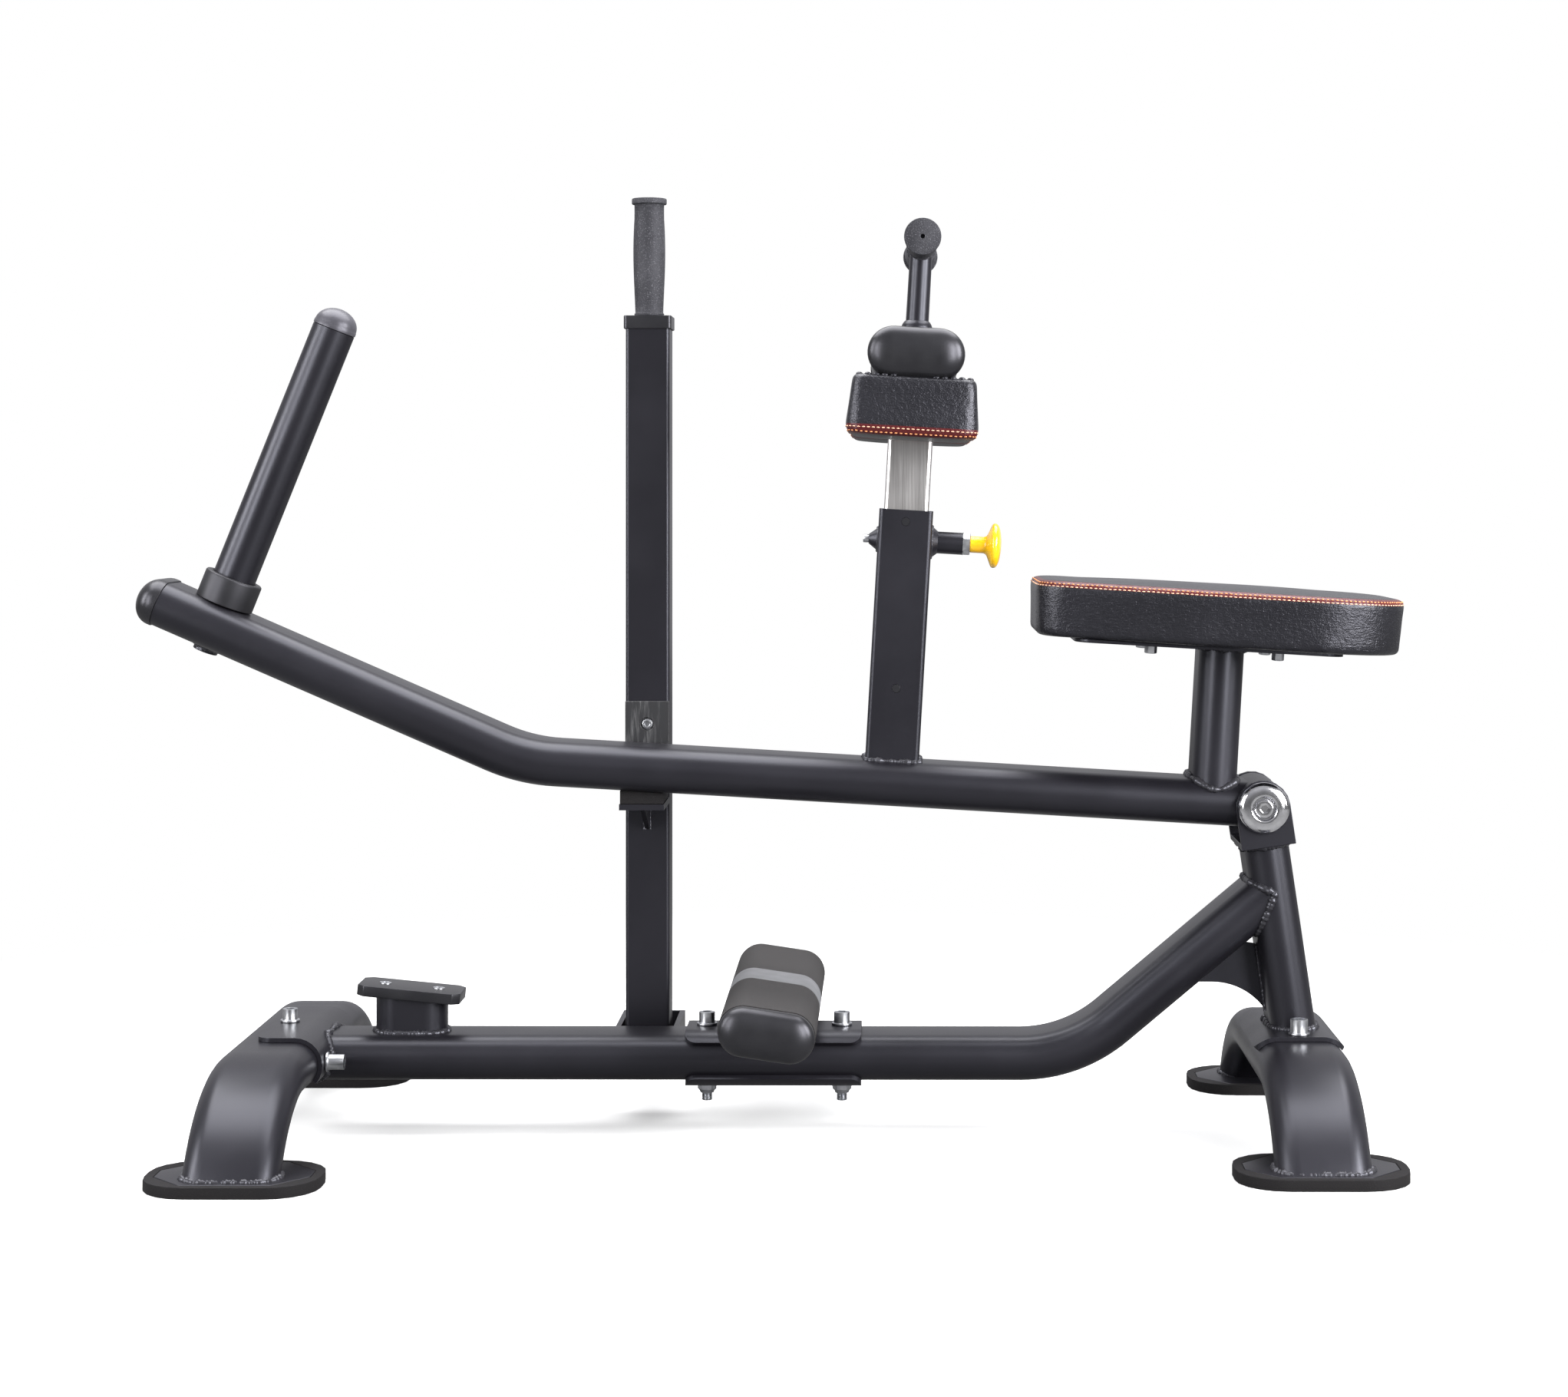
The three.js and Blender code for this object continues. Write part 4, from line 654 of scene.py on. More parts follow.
def finished(
    name: str, mesh: Mesh, place: Matrix, material: bpy.types.Material, sharp: float = 38.0
) -> bpy.types.Object:
    """Turns millimetre geometry into an object at the origin, in metres.

    Args:
        name: the piece's name.
        mesh: the geometry, which is used up.
        place: its place, in millimetres.
        material: its material.
        sharp: edges that bend by more degrees than this stay sharp.

    Returns:
        The linked object.
    """
    bmesh.ops.recalc_face_normals(mesh, faces=mesh.faces)
    mesh.transform(TO_METRES @ place)
    made = linked(name, mesh)
    made.data.shade_smooth()
    made.data.set_sharp_from_angle(angle=math.radians(sharp))
    made.data.materials.append(material)
    return made


def apply_modifiers(made: bpy.types.Object) -> None:
    """Bakes an object's modifiers into its mesh."""
    graph = bpy.context.evaluated_depsgraph_get()
    baked = bpy.data.meshes.new_from_object(made.evaluated_get(graph))
    made.modifiers.clear()
    made.data = baked


def modify(made: bpy.types.Object, kind: str, **settings: object) -> None:
    """Bakes one modifier into an object's mesh.

    Args:
        made: the object.
        kind: the modifier's type.
        **settings: its attributes, set in their order.
    """
    modifier = made.modifiers.new(kind.lower(), kind)
    for name, value in settings.items():
        setattr(modifier, name, value)
    apply_modifiers(made)


def arc(centre: tuple[float, float], radius: float, start: float, end: float, steps: int) -> Outline:
    """Points along an arc, its angles in degrees."""
    angles = [math.radians(start + (end - start) * k / steps) for k in range(steps + 1)]
    return [(centre[0] + radius * math.cos(a), centre[1] + radius * math.sin(a)) for a in angles]


def circle(radius: float, count: int) -> Outline:
    """Evenly spread points of a circle."""
    angles = [2 * math.pi * i / count for i in range(count)]
    return [(radius * math.cos(a), radius * math.sin(a)) for a in angles]


def oval(width: float, height: float, steps: int = 14) -> Outline:
    """The flat-oval section: two half circles joined by straights.

    Args:
        width: size along the first coordinate.
        height: size along the second.
        steps: points in each half circle.

    Returns:
        The outline, anticlockwise.
    """
    radius = min(width, height) / 2
    reach = max(width, height) / 2 - radius
    if width >= height:
        return arc((reach, 0), radius, -90, 90, steps) + arc((-reach, 0), radius, 90, 270, steps)
    return arc((0, reach), radius, 0, 180, steps) + arc((0, -reach), radius, 180, 360, steps)


def tube_section(steps: int) -> Outline:
    """The frame tube's section, lying flat."""
    return oval(TUBE_WIDTH, TUBE_HEIGHT, steps)


def rectangle(x: float, y: float) -> Outline:
    """A rectangle of two half sizes, anticlockwise."""
    return [(-x, -y), (x, -y), (x, y), (-x, y)]


def chamfered(x: float, y: float, along_x: float, along_y: float) -> Outline:
    """A rectangle of two half sizes with its corners cut off."""
    near, side = x - along_x, y - along_y
    right = [(near, -y), (x, -side), (x, side), (near, y)]
    return [(-near, -y), *right, (-near, y), (-x, side), (-x, -side)]


def rounded(corners: Outline, radii: Sequence[float] | float, steps: int = 6) -> Outline:
    """Rounds the corners of an outline.

    Args:
        corners: the sharp outline.
        radii: one radius for each corner, or one for all.
        steps: points on each rounding.

    Returns:
        The rounded outline.
    """
    points = [Vector(corner) for corner in corners]
    sizes = radii if isinstance(radii, Sequence) else [radii] * len(points)
    made: Outline = []
    for i, (corner, radius) in enumerate(zip(points, sizes)):
        back = (points[i - 1] - corner).normalized()
        ahead = (points[(i + 1) % len(points)] - corner).normalized()
        half = math.acos(max(-1.0, min(1.0, back.dot(ahead)))) / 2
        if radius <= 0 or half > math.pi / 2 - 1e-3:
            made.append(tuple(corner))
            continue
        centre = corner + (back + ahead).normalized() * (radius / math.sin(half))
        first = corner + back * (radius / math.tan(half)) - centre
        turn = math.pi - 2 * half
        if back.x * ahead.y - back.y * ahead.x > 0:
            turn = -turn
        for k in range(steps + 1):
            cos, sin = math.cos(turn * k / steps), math.sin(turn * k / steps)
            made.append(
                (centre.x + first.x * cos - first.y * sin, centre.y + first.x * sin + first.y * cos)
            )
    return made


def eased(profile: Outline, radius: float) -> Outline:
    """A turned profile with its inner corners rounded; its two ends stay."""
    return rounded(profile, [0.0] + [radius] * (len(profile) - 2) + [0.0], 3)


def dense(outline: Outline, step: float = 3.0) -> Outline:
    """The same closed outline with points no further apart than a step."""
    made: Outline = []
    for first, second in zip(outline, outline[1:] + outline[:1]):
        a, b = Vector(first), Vector(second)
        count = max(1, math.ceil((b - a).length / step))
        made += [tuple(a.lerp(b, k / count)) for k in range(count)]
    return made


def smooth_profile(points: Outline, steps: int = 6) -> Outline:
    """A smooth curve through the points of a profile."""
    ends = [points[0], *points, points[-1]]
    made: Outline = []
    for spots in zip(ends, ends[1:], ends[2:], ends[3:]):
        for t in (k / steps for k in range(steps)):
            before, after = 2 * t**2 - t**3 - t, t**3 - t**2
            shares = (before, 3 * t**3 - 5 * t**2 + 2, 4 * t**2 - 3 * t**3 + t, after)
            made.append(tuple(sum(s * v for s, v in zip(shares, axis)) / 2 for axis in zip(*spots)))
    return made + [points[-1]]


def loft(rings: Sequence[Sequence[Vector]]) -> Mesh:
    """A closed skin through equal rings of points."""
    mesh = bmesh.new()
    rows = [[mesh.verts.new(point) for point in ring] for ring in rings]
    for low, high in zip(rows, rows[1:]):
        for i in range(len(low)):
            j = (i + 1) % len(low)
            mesh.faces.new((low[i], low[j], high[j], high[i]))
    mesh.faces.new(rows[0][::-1])
    mesh.faces.new(rows[-1])
    return mesh


def flat_ring(outline: Outline, height: float, inset: float = 0.0) -> list[Vector]:
    """An outline as a ring at a height, drawn in along both axes by an inset."""
    scale_x = 1 - inset / max(abs(x) for x, _ in outline)
    scale_y = 1 - inset / max(abs(y) for _, y in outline)
    return [Vector((x * scale_x, y * scale_y, height)) for x, y in outline]


def prism(outline: Outline, low: float, high: float, ease: float = 0.0) -> Mesh:
    """A prism of an outline along z.

    Args:
        outline: its section.
        low: height of its foot.
        high: height of its top.
        ease: rounding of the two end edges.

    Returns:
        The new geometry.
    """
    if ease <= 0:
        return loft([flat_ring(outline, low), flat_ring(outline, high)])
    angles = [math.radians(30 * k) for k in range(4)]
    steps = [(ease * (1 - math.sin(angle)), ease * (1 - math.cos(angle))) for angle in angles]
    rings = [flat_ring(outline, low + rise, inset) for rise, inset in reversed(steps)]
    rings += [flat_ring(outline, high - rise, inset) for rise, inset in steps]
    return loft(rings)


def turned(profile: Outline, sides: int = 64, closed: bool = False) -> Mesh:
    """A turned piece about z from (radius, height) points.

    Args:
        profile: from the axis to the axis, or a loop that stays off it.
        sides: its number of sides.
        closed: whether the profile is such a loop.

    Returns:
        The new geometry.
    """
    mesh = bmesh.new()
    rows: list[list[bmesh.types.BMVert]] = []
    for radius, height in profile:
        spots = circle(radius, sides) if radius > 1e-6 else [(0.0, 0.0)]
        rows.append([mesh.verts.new((x, y, height)) for x, y in spots])
    for low, high in list(zip(rows, rows[1:])) + ([(rows[-1], rows[0])] if closed else []):
        for i in range(sides):
            j = (i + 1) % sides
            if len(low) > 1 and len(high) > 1:
                mesh.faces.new((low[i], low[j], high[j], high[i]))
            elif len(high) > 1:
                mesh.faces.new((low[0], high[j], high[i]))
            elif len(low) > 1:
                mesh.faces.new((low[i], low[j], high[0]))
    return mesh


def swept(section: Outline, path: Sequence[Matrix]) -> Mesh:
    """A section carried along frames, whose x and y axes hold it."""
    return loft([[frame @ Vector((u, v, 0.0)) for u, v in section] for frame in path])


def bent_path(
    start: Vector, heading: Vector, across: Vector, runs: Sequence[tuple[float, float]]
) -> list[Matrix]:
    """Frames along straights and bends that all turn about one direction.

    Args:
        start: the first point.
        heading: the first direction.
        across: the axis of every bend, which the section's x follows.
        runs: (length, 0) for a straight and (radius, degrees) for a bend.

    Returns:
        Frames with x across, y up and z along the path.
    """
    point, forward = start.copy(), heading.normalized()
    frames: list[Matrix] = []

    def mark() -> None:
        """Adds the frame at the present point."""
        frame = facing(forward, across)
        frame.translation = point
        frames.append(frame)

    mark()
    for size, degrees in runs:
        steps = max(1, math.ceil(abs(degrees) / 2.5))
        turn = math.radians(degrees) / steps
        stride = 2 * size * math.sin(abs(turn) / 2) if degrees else size
        half = Matrix.Rotation(turn / 2, 3, across)
        for _ in range(steps):
            forward = half @ forward
            point = point + forward * stride
            forward = half @ forward
            mark()
    return frames


def facing(forward: Vector, across: Vector) -> Matrix:
    """A frame with z forward and x across."""
    return Matrix((across, forward.cross(across), forward)).transposed().to_4x4()


def frame_along(axis: str, sign: int = 1) -> Matrix:
    """Turns z onto another axis of the machine."""
    return tilt(90 * sign, "Y") if axis == "x" else tilt(-90 * sign, "X")


def joined(*meshes: Mesh) -> Mesh:
    """Several geometries in one."""
    whole = bmesh.new()
    for mesh in meshes:
        data = bpy.data.meshes.new("part")
        mesh.to_mesh(data)
        mesh.free()
        whole.from_mesh(data)
        bpy.data.meshes.remove(data)
    return whole


def moved(mesh: Mesh, place: Matrix) -> Mesh:
    """The same geometry, moved."""
    mesh.transform(place)
    return mesh


def cut_below(mesh: Mesh, point: Vector, up: Vector) -> Mesh:
    """The same geometry with all that is below a plane taken off."""
    bmesh.ops.bisect_plane(
        mesh,
        geom=mesh.verts[:] + mesh.edges[:] + mesh.faces[:],
        plane_co=point,
        plane_no=up,
        clear_inner=True,
    )
    return mesh


def crossbar_tube() -> Mesh:
    """The tube of the crossbar and of the footrest, across the machine."""
    return moved(prism(tube_section(20), -CROSSBAR_HALF, CROSSBAR_HALF), frame_along("y"))


def oval_height(y: float) -> float:
    """Height of a lying flat-oval tube's surface above its axis, at a place across it."""
    beyond = abs(y) - TUBE_FLAT
    return TUBE_ROUND if beyond <= 0 else math.sqrt(max(0.0, TUBE_ROUND**2 - beyond**2))


@dataclass(frozen=True)
class SocketBolt:
    """A socket head bolt above its seat, with a washer and a hexagon hole."""

    head: float  # radius of the head
    height: float
    washer: float  # radius of the washer
    thickness: float  # of the washer
    hexagon: float  # radius of the hole's corners
    bulge: float = 0.25  # how far the middle of the head's top is proud of its edge

    def mesh(self) -> Mesh:
        """The bolt about z, its seat at z = 0."""
        seat = self.thickness
        top = seat + self.height
        profile = eased(
            [(0, 0), (self.washer, 0), (self.washer, seat), (self.head, seat), (self.head, top)],
            0.5,
        )
        crest = top + self.bulge
        made = turned(profile + [(self.head - 0.9, crest), (self.hexagon + 0.5, crest)], 40)
        rim = [
            vert
            for vert in made.verts
            if abs(vert.co.z - crest) < 1e-4 and vert.co.xy.length < self.head - 1.2
        ]
        rim.sort(key=lambda vert: math.atan2(vert.co.y, vert.co.x))
        mouth = self.hexagonal(made, rim, top)
        floor = self.hexagonal(made, rim, top - self.height * 0.5)
        for low, high in ((rim, mouth), (mouth, floor)):
            for i in range(len(rim)):
                j = (i + 1) % len(rim)
                made.faces.new((low[i], low[j], high[j], high[i]))
        made.faces.new(floor)
        return made

    def hexagonal(
        self, mesh: Mesh, rim: Sequence[bmesh.types.BMVert], z: float
    ) -> list[bmesh.types.BMVert]:
        """A ring of the hexagon hole at a height, one point for each of the rim's."""
        ring = []
        for vert in rim:
            angle = math.atan2(vert.co.y, vert.co.x)
            spread = (angle % (math.pi / 3)) - math.pi / 6
            reach = self.hexagon * math.cos(math.pi / 6) / math.cos(spread)
            ring.append(mesh.verts.new((reach * math.cos(angle), reach * math.sin(angle), z)))
        return ring


@dataclass(frozen=True)
class EndCap:
    """A moulded end cap of a flat-oval tube, standing on z = 0."""

    depth: float
    plump: float = 0.0  # how much taller its section is than the tube's with the rim
    lip: float = 1.3  # how far its rim is proud of the tube
    lip_length: float = 5.0

    def mesh(self) -> Mesh:
        """The cap: its rim, and a dome that draws in to the tube's middle."""
        width = TUBE_WIDTH + 2 * self.lip
        height = TUBE_HEIGHT + 2 * self.lip + self.plump
        rings = [(0.6, 0.3), (0.0, 0.9)]
        for angle in (math.radians(9 * k) for k in range(11)):
            inset = (height / 2 - 1.0) * (1 - math.cos(angle))
            rings.append((inset, self.lip_length + (self.depth - self.lip_length) * math.sin(angle)))
        return loft(
            [
                [Vector((x, y, z)) for x, y in oval(width - 2 * inset, height - 2 * inset, 20)]
                for inset, z in rings
            ]
        )


@dataclass(frozen=True)
class HandGrip:
    """A swelling rubber grip about z with a flange at its top."""

    length: float
    bore: float  # radius of the tube in it
    waist: float  # radius behind its foot ring
    vent: float = 0.0  # radius of the hole in its end
    belly: float = 18.3  # the widest radius of its swell
    neck: float = 17.0  # its radius below the flange

    def mesh(self) -> Mesh:
        """The grip: its foot ring, its swelling body and its flange."""
        end = self.length
        body = end - 10.5
        foot = [(self.bore, 0.2), (16.2, 0.2), (17.0, 0.9), (17.0, 2.8), (16.4, 3.4)]
        swell = []
        for share in (k / 16 for k in range(17)):
            bulge = math.sin(math.pi * share**1.2) * (self.belly - self.waist)
            bulge = max(bulge, (self.neck - self.waist) * share)
            swell.append((self.waist + bulge, 4.2 + (body - 1.4) * share))
        flange = [(17.6, end - 6.9), (19.2, end - 6.8), (20.0, end - 6.0)]
        flange += [(20.0, end - 1.2), (19.6, end - 0.4), (18.6, end)]
        vent = self.vent
        hole = [(vent + 0.5, end), (vent, end - 0.5), (vent, end - 9.0), (0, end - 9.0)]
        return turned(foot + swell + flange + (hole if vent else [(0, end)]), 72)


# Patterns that repeat


class Pattern(Graph):
    """A Geometry Nodes tree that ends in real meshes with a material."""

    def __init__(self, name: str, **inputs: str) -> None:
        """Starts the tree.

        Args:
            name: the tree's name.
            **inputs: the socket type of each named input after the geometry.
        """
        super().__init__(bpy.data.node_groups.new(name, "GeometryNodeTree"))
        face = self.tree.interface
        face.new_socket("Geometry", in_out="INPUT", socket_type="NodeSocketGeometry")
        for label, kind in inputs.items():
            face.new_socket(label, in_out="INPUT", socket_type=f"NodeSocket{kind}")
        face.new_socket("Geometry", in_out="OUTPUT", socket_type="NodeSocketGeometry")
        self.source = self.node("NodeGroupInput").outputs

    def end(self, geometry: bpy.types.Node, material: object, smooth: bool = True) -> None:
        """Ends the tree.

        Args:
            geometry: the node with its result.
            material: a material, or the input that holds one.
            smooth: whether the faces are shaded smooth.
        """
        real = self.node("GeometryNodeRealizeInstances", geometry)
        if smooth:
            real = self.node("GeometryNodeSetShadeSmooth", real)
        self.node("NodeGroupOutput", self.node("GeometryNodeSetMaterial", real, Material=material))

    def run(self, made: bpy.types.Object, **values: object) -> bpy.types.Object:
        """Runs the tree on an object and keeps its result as a plain mesh.

        Args:
            made: the object with the path or the points.
            **values: the tree's named inputs.

        Returns:
            The same object.
        """
        modifier = made.modifiers.new(self.tree.name, "NODES")
        modifier.node_group = self.tree
        for item in self.tree.interface.items_tree:
            if item.in_out == "INPUT" and item.name in values:
                modifier[item.identifier] = values[item.name]
        apply_modifiers(made)
        return made

    @staticmethod
    def path_object(name: str, seams: Sequence[Seam]) -> bpy.types.Object:
        """An object of edges along seams."""
        mesh = bmesh.new()
        for points, closed in seams:
            verts = [mesh.verts.new(point * MM) for point in points]
            for low, high in zip(verts, verts[1:] + ([verts[0]] if closed else [])):
                mesh.edges.new((low, high))
        return linked(name, mesh)


class WeldBead(Pattern):
    """Rippled weld beads along seams."""

    ripple = 1.5  # how much a bead swells and narrows

    def __init__(self, finish: Finish) -> None:
        """Builds the tree once, for a finish."""
        super().__init__("weld_bead", Radius="Float", Ripple="Float")
        curve = self.node("GeometryNodeMeshToCurve", self.source["Geometry"])
        even = self.node(
            "GeometryNodeResampleCurve", settings={"mode": "LENGTH"}, Curve=curve, Length=0.0012
        )
        place = self.node("GeometryNodeInputPosition")
        wobble = self.node("ShaderNodeTexNoise", Vector=place, Scale=330.0, Detail=2.0)
        slow = self.node("ShaderNodeTexNoise", Vector=place, Scale=75.0, Detail=1.0)
        off_centre = self.wire(wobble, "Fac") + self.wire(slow, "Fac") - 1.0
        swell = off_centre * Wire(self.tree, self.source["Ripple"]) + 1.0
        circle_curve = self.node(
            "GeometryNodeCurvePrimitiveCircle", Resolution=8, Radius=self.source["Radius"]
        )
        bead = self.node(
            "GeometryNodeCurveToMesh",
            Curve=even,
            Profile_Curve=circle_curve,
            Scale=swell,
            Fill_Caps=True,
        )
        self.end(bead, finish.material)

    def lay(self, name: str, seams: Sequence[Seam], radius: float) -> bpy.types.Object:
        """Lays beads along seams.

        Args:
            name: the piece's name.
            seams: where they run.
            radius: the bead's radius in mm.

        Returns:
            The beads as one mesh.
        """
        return self.run(self.path_object(name, seams), Radius=radius * MM, Ripple=self.ripple)


class Stitching(Pattern):
    """Rows of short thread stitches along paths."""

    pitch = 5.2  # from stitch to stitch
    thickness = 0.72  # radius of the thread

    def __init__(self) -> None:
        """Builds the tree once."""
        super().__init__(
            "stitch_row", Pitch="Float", Length="Float", Thickness="Float", Thread="Material"
        )
        source = self.source
        curve = self.node("GeometryNodeMeshToCurve", source["Geometry"])
        points = self.node(
            "GeometryNodeCurveToPoints",
            settings={"mode": "LENGTH"},
            Curve=curve,
            Length=source["Pitch"],
        )
        capsule = self.node("GeometryNodeMeshUVSphere", Segments=6, Rings=5, Radius=1.0)
        size = self.node(
            "ShaderNodeCombineXYZ", source["Thickness"], source["Thickness"], source["Length"]
        )
        stitch = self.node("GeometryNodeTransform", capsule, Scale=size)
        placed = self.node(
            "GeometryNodeInstanceOnPoints",
            points,
            Instance=stitch,
            Rotation=points.outputs["Rotation"],
        )
        self.end(placed, source["Thread"])

    def sew(self, name: str, row: Seam, thread: Finish, length: float) -> bpy.types.Object:
        """Sews stitches along a row.

        Args:
            name: the piece's name.
            row: where it runs.
            thread: the thread's finish.
            length: half a stitch's length in mm.

        Returns:
            The stitches as one mesh.
        """
        return self.run(
            self.path_object(name, [row]),
            Pitch=self.pitch * MM,
            Length=length * MM,
            Thickness=self.thickness * MM,
            Thread=thread.material,
        )


class Fastener(Pattern):
    """Screws, nuts and folds set at points of the machine."""

    def __init__(self) -> None:
        """Builds the tree once."""
        super().__init__("fasteners", Pattern="Object", Finish="Material")
        pattern = self.node(
            "GeometryNodeObjectInfo",
            self.source["Pattern"],
            False,
            settings={"transform_space": "ORIGINAL"},
        )
        turn = self.node(
            "GeometryNodeInputNamedAttribute", "turn", settings={"data_type": "FLOAT_VECTOR"}
        )
        placed = self.node(
            "GeometryNodeInstanceOnPoints",
            self.source["Geometry"],
            Instance=pattern.outputs["Geometry"],
            Rotation=turn,
        )
        self.end(placed, self.source["Finish"], smooth=False)

    def place(
        self, name: str, pattern: Mesh, places: Sequence[Matrix], finish: Finish
    ) -> bpy.types.Object:
        """Sets one shape at several places.

        Args:
            name: the piece's name.
            pattern: the shape, in mm about z.
            places: where each one stands.
            finish: its finish.

        Returns:
            The copies as one mesh.
        """
        model = finished(f"{name}_pattern", pattern, Matrix(), finish.material)
        mesh = bmesh.new()
        for place in places:
            mesh.verts.new(place.translation * MM)
        made = linked(name, mesh)
        turns = made.data.attributes.new("turn", "FLOAT_VECTOR", "POINT")
        for item, place in zip(turns.data, places):
            item.vector = Vector(place.to_euler())
        self.run(made, Pattern=model, Finish=finish.material)
        bpy.data.objects.remove(model)
        return made


# Sub-assemblies


@dataclass
class Shop:
    """What every sub-assembly shares: the frame, the finishes and the tools."""

    nodes: dict[str, bpy.types.Object]
    palette: Palette
    welds: WeldBead
    stitches: Stitching
    fasteners: Fastener
    replaced: set[str] = field(default_factory=set)

    def fit(self, made: bpy.types.Object, body: Body, slot: Slot, *nodes: str) -> None:
        """Puts a piece on its body.

        Args:
            made: the piece.
            body: the body that it rides on.
            slot: the record's slot; not used.
            *nodes: the solids that it stands for.
        """
        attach(made, body.value)
        if nodes:
            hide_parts(*nodes)
            self.replaced.update(nodes)
        LOG.info("%s rides on %s", made.name, body.value)

    def piece(
        self,
        name: str,
        mesh: Mesh,
        place: Matrix,
        finish: Finish,
        body: Body,
        *nodes: str,
        sharp: float = 38.0,
    ) -> None:
        """Turns geometry into a finished piece on its body.

        Args:
            name: the piece's name.
            mesh: the geometry in mm, which is used up.
            place: its place.
            finish: its finish.
            body: the body that it rides on.
            *nodes: the solids that it stands for.
            sharp: edges that bend by more degrees than this stay sharp.
        """
        made = finished(name, mesh, place, finish.material, sharp)
        self.fit(made, body, finish.slot, *nodes)

    def set_of(
        self, name: str, pattern: Mesh, places: Sequence[Matrix], finish: Finish, body: Body
    ) -> None:
        """One shape at several places, as a piece on its body.

        Args:
            name: the piece's name.
            pattern: the shape, in mm about z.
            places: where each one stands.
            finish: its finish.
            body: the body that it rides on.
        """
        self.fit(self.fasteners.place(name, pattern, places, finish), body, finish.slot)

    def weld(self, name: str, seams: Sequence[Seam], body: Body, radius: float = 3.9) -> None:
        """Weld beads along seams, as a piece on its body.

        Args:
            name: the piece's name.
            seams: where the beads run.
            body: the body that they ride on.
            radius: the bead's radius in mm.
        """
        self.fit(self.welds.lay(name, seams, radius), body, self.palette.weld.slot)

    def refine(self, node: str, finish: Finish, body: Body, ease: float) -> None:
        """A solid's own shape with eased edges and smooth round faces, in its stead.

        Args:
            node: the solid.
            finish: its finish.
            body: its body.
            ease: width of the eased edges in mm.
        """
        mesh = bmesh.new()
        mesh.from_mesh(self.nodes[node].data)
        bmesh.ops.remove_doubles(mesh, verts=mesh.verts, dist=2e-6)
        bmesh.ops.dissolve_limit(
            mesh, angle_limit=math.radians(0.6), verts=mesh.verts, edges=mesh.edges
        )
        made = linked(f"{node}_skin", mesh)
        if ease > 0:
            modify(
                made,
                "BEVEL",
                width=ease * MM,
                segments=2,
                limit_method="ANGLE",
                angle_limit=math.radians(38),
            )
        made.data.materials.clear()
        made.data.materials.append(finish.material)
        made.data.shade_smooth()
        made.data.set_sharp_from_angle(angle=math.radians(32))
        modify(made, "WEIGHTED_NORMAL", keep_sharp=True)
        self.fit(made, body, finish.slot, node)


@dataclass
class SubAssembly:
    """Pieces that belong together and are made with the shop's tools."""

    shop: Shop


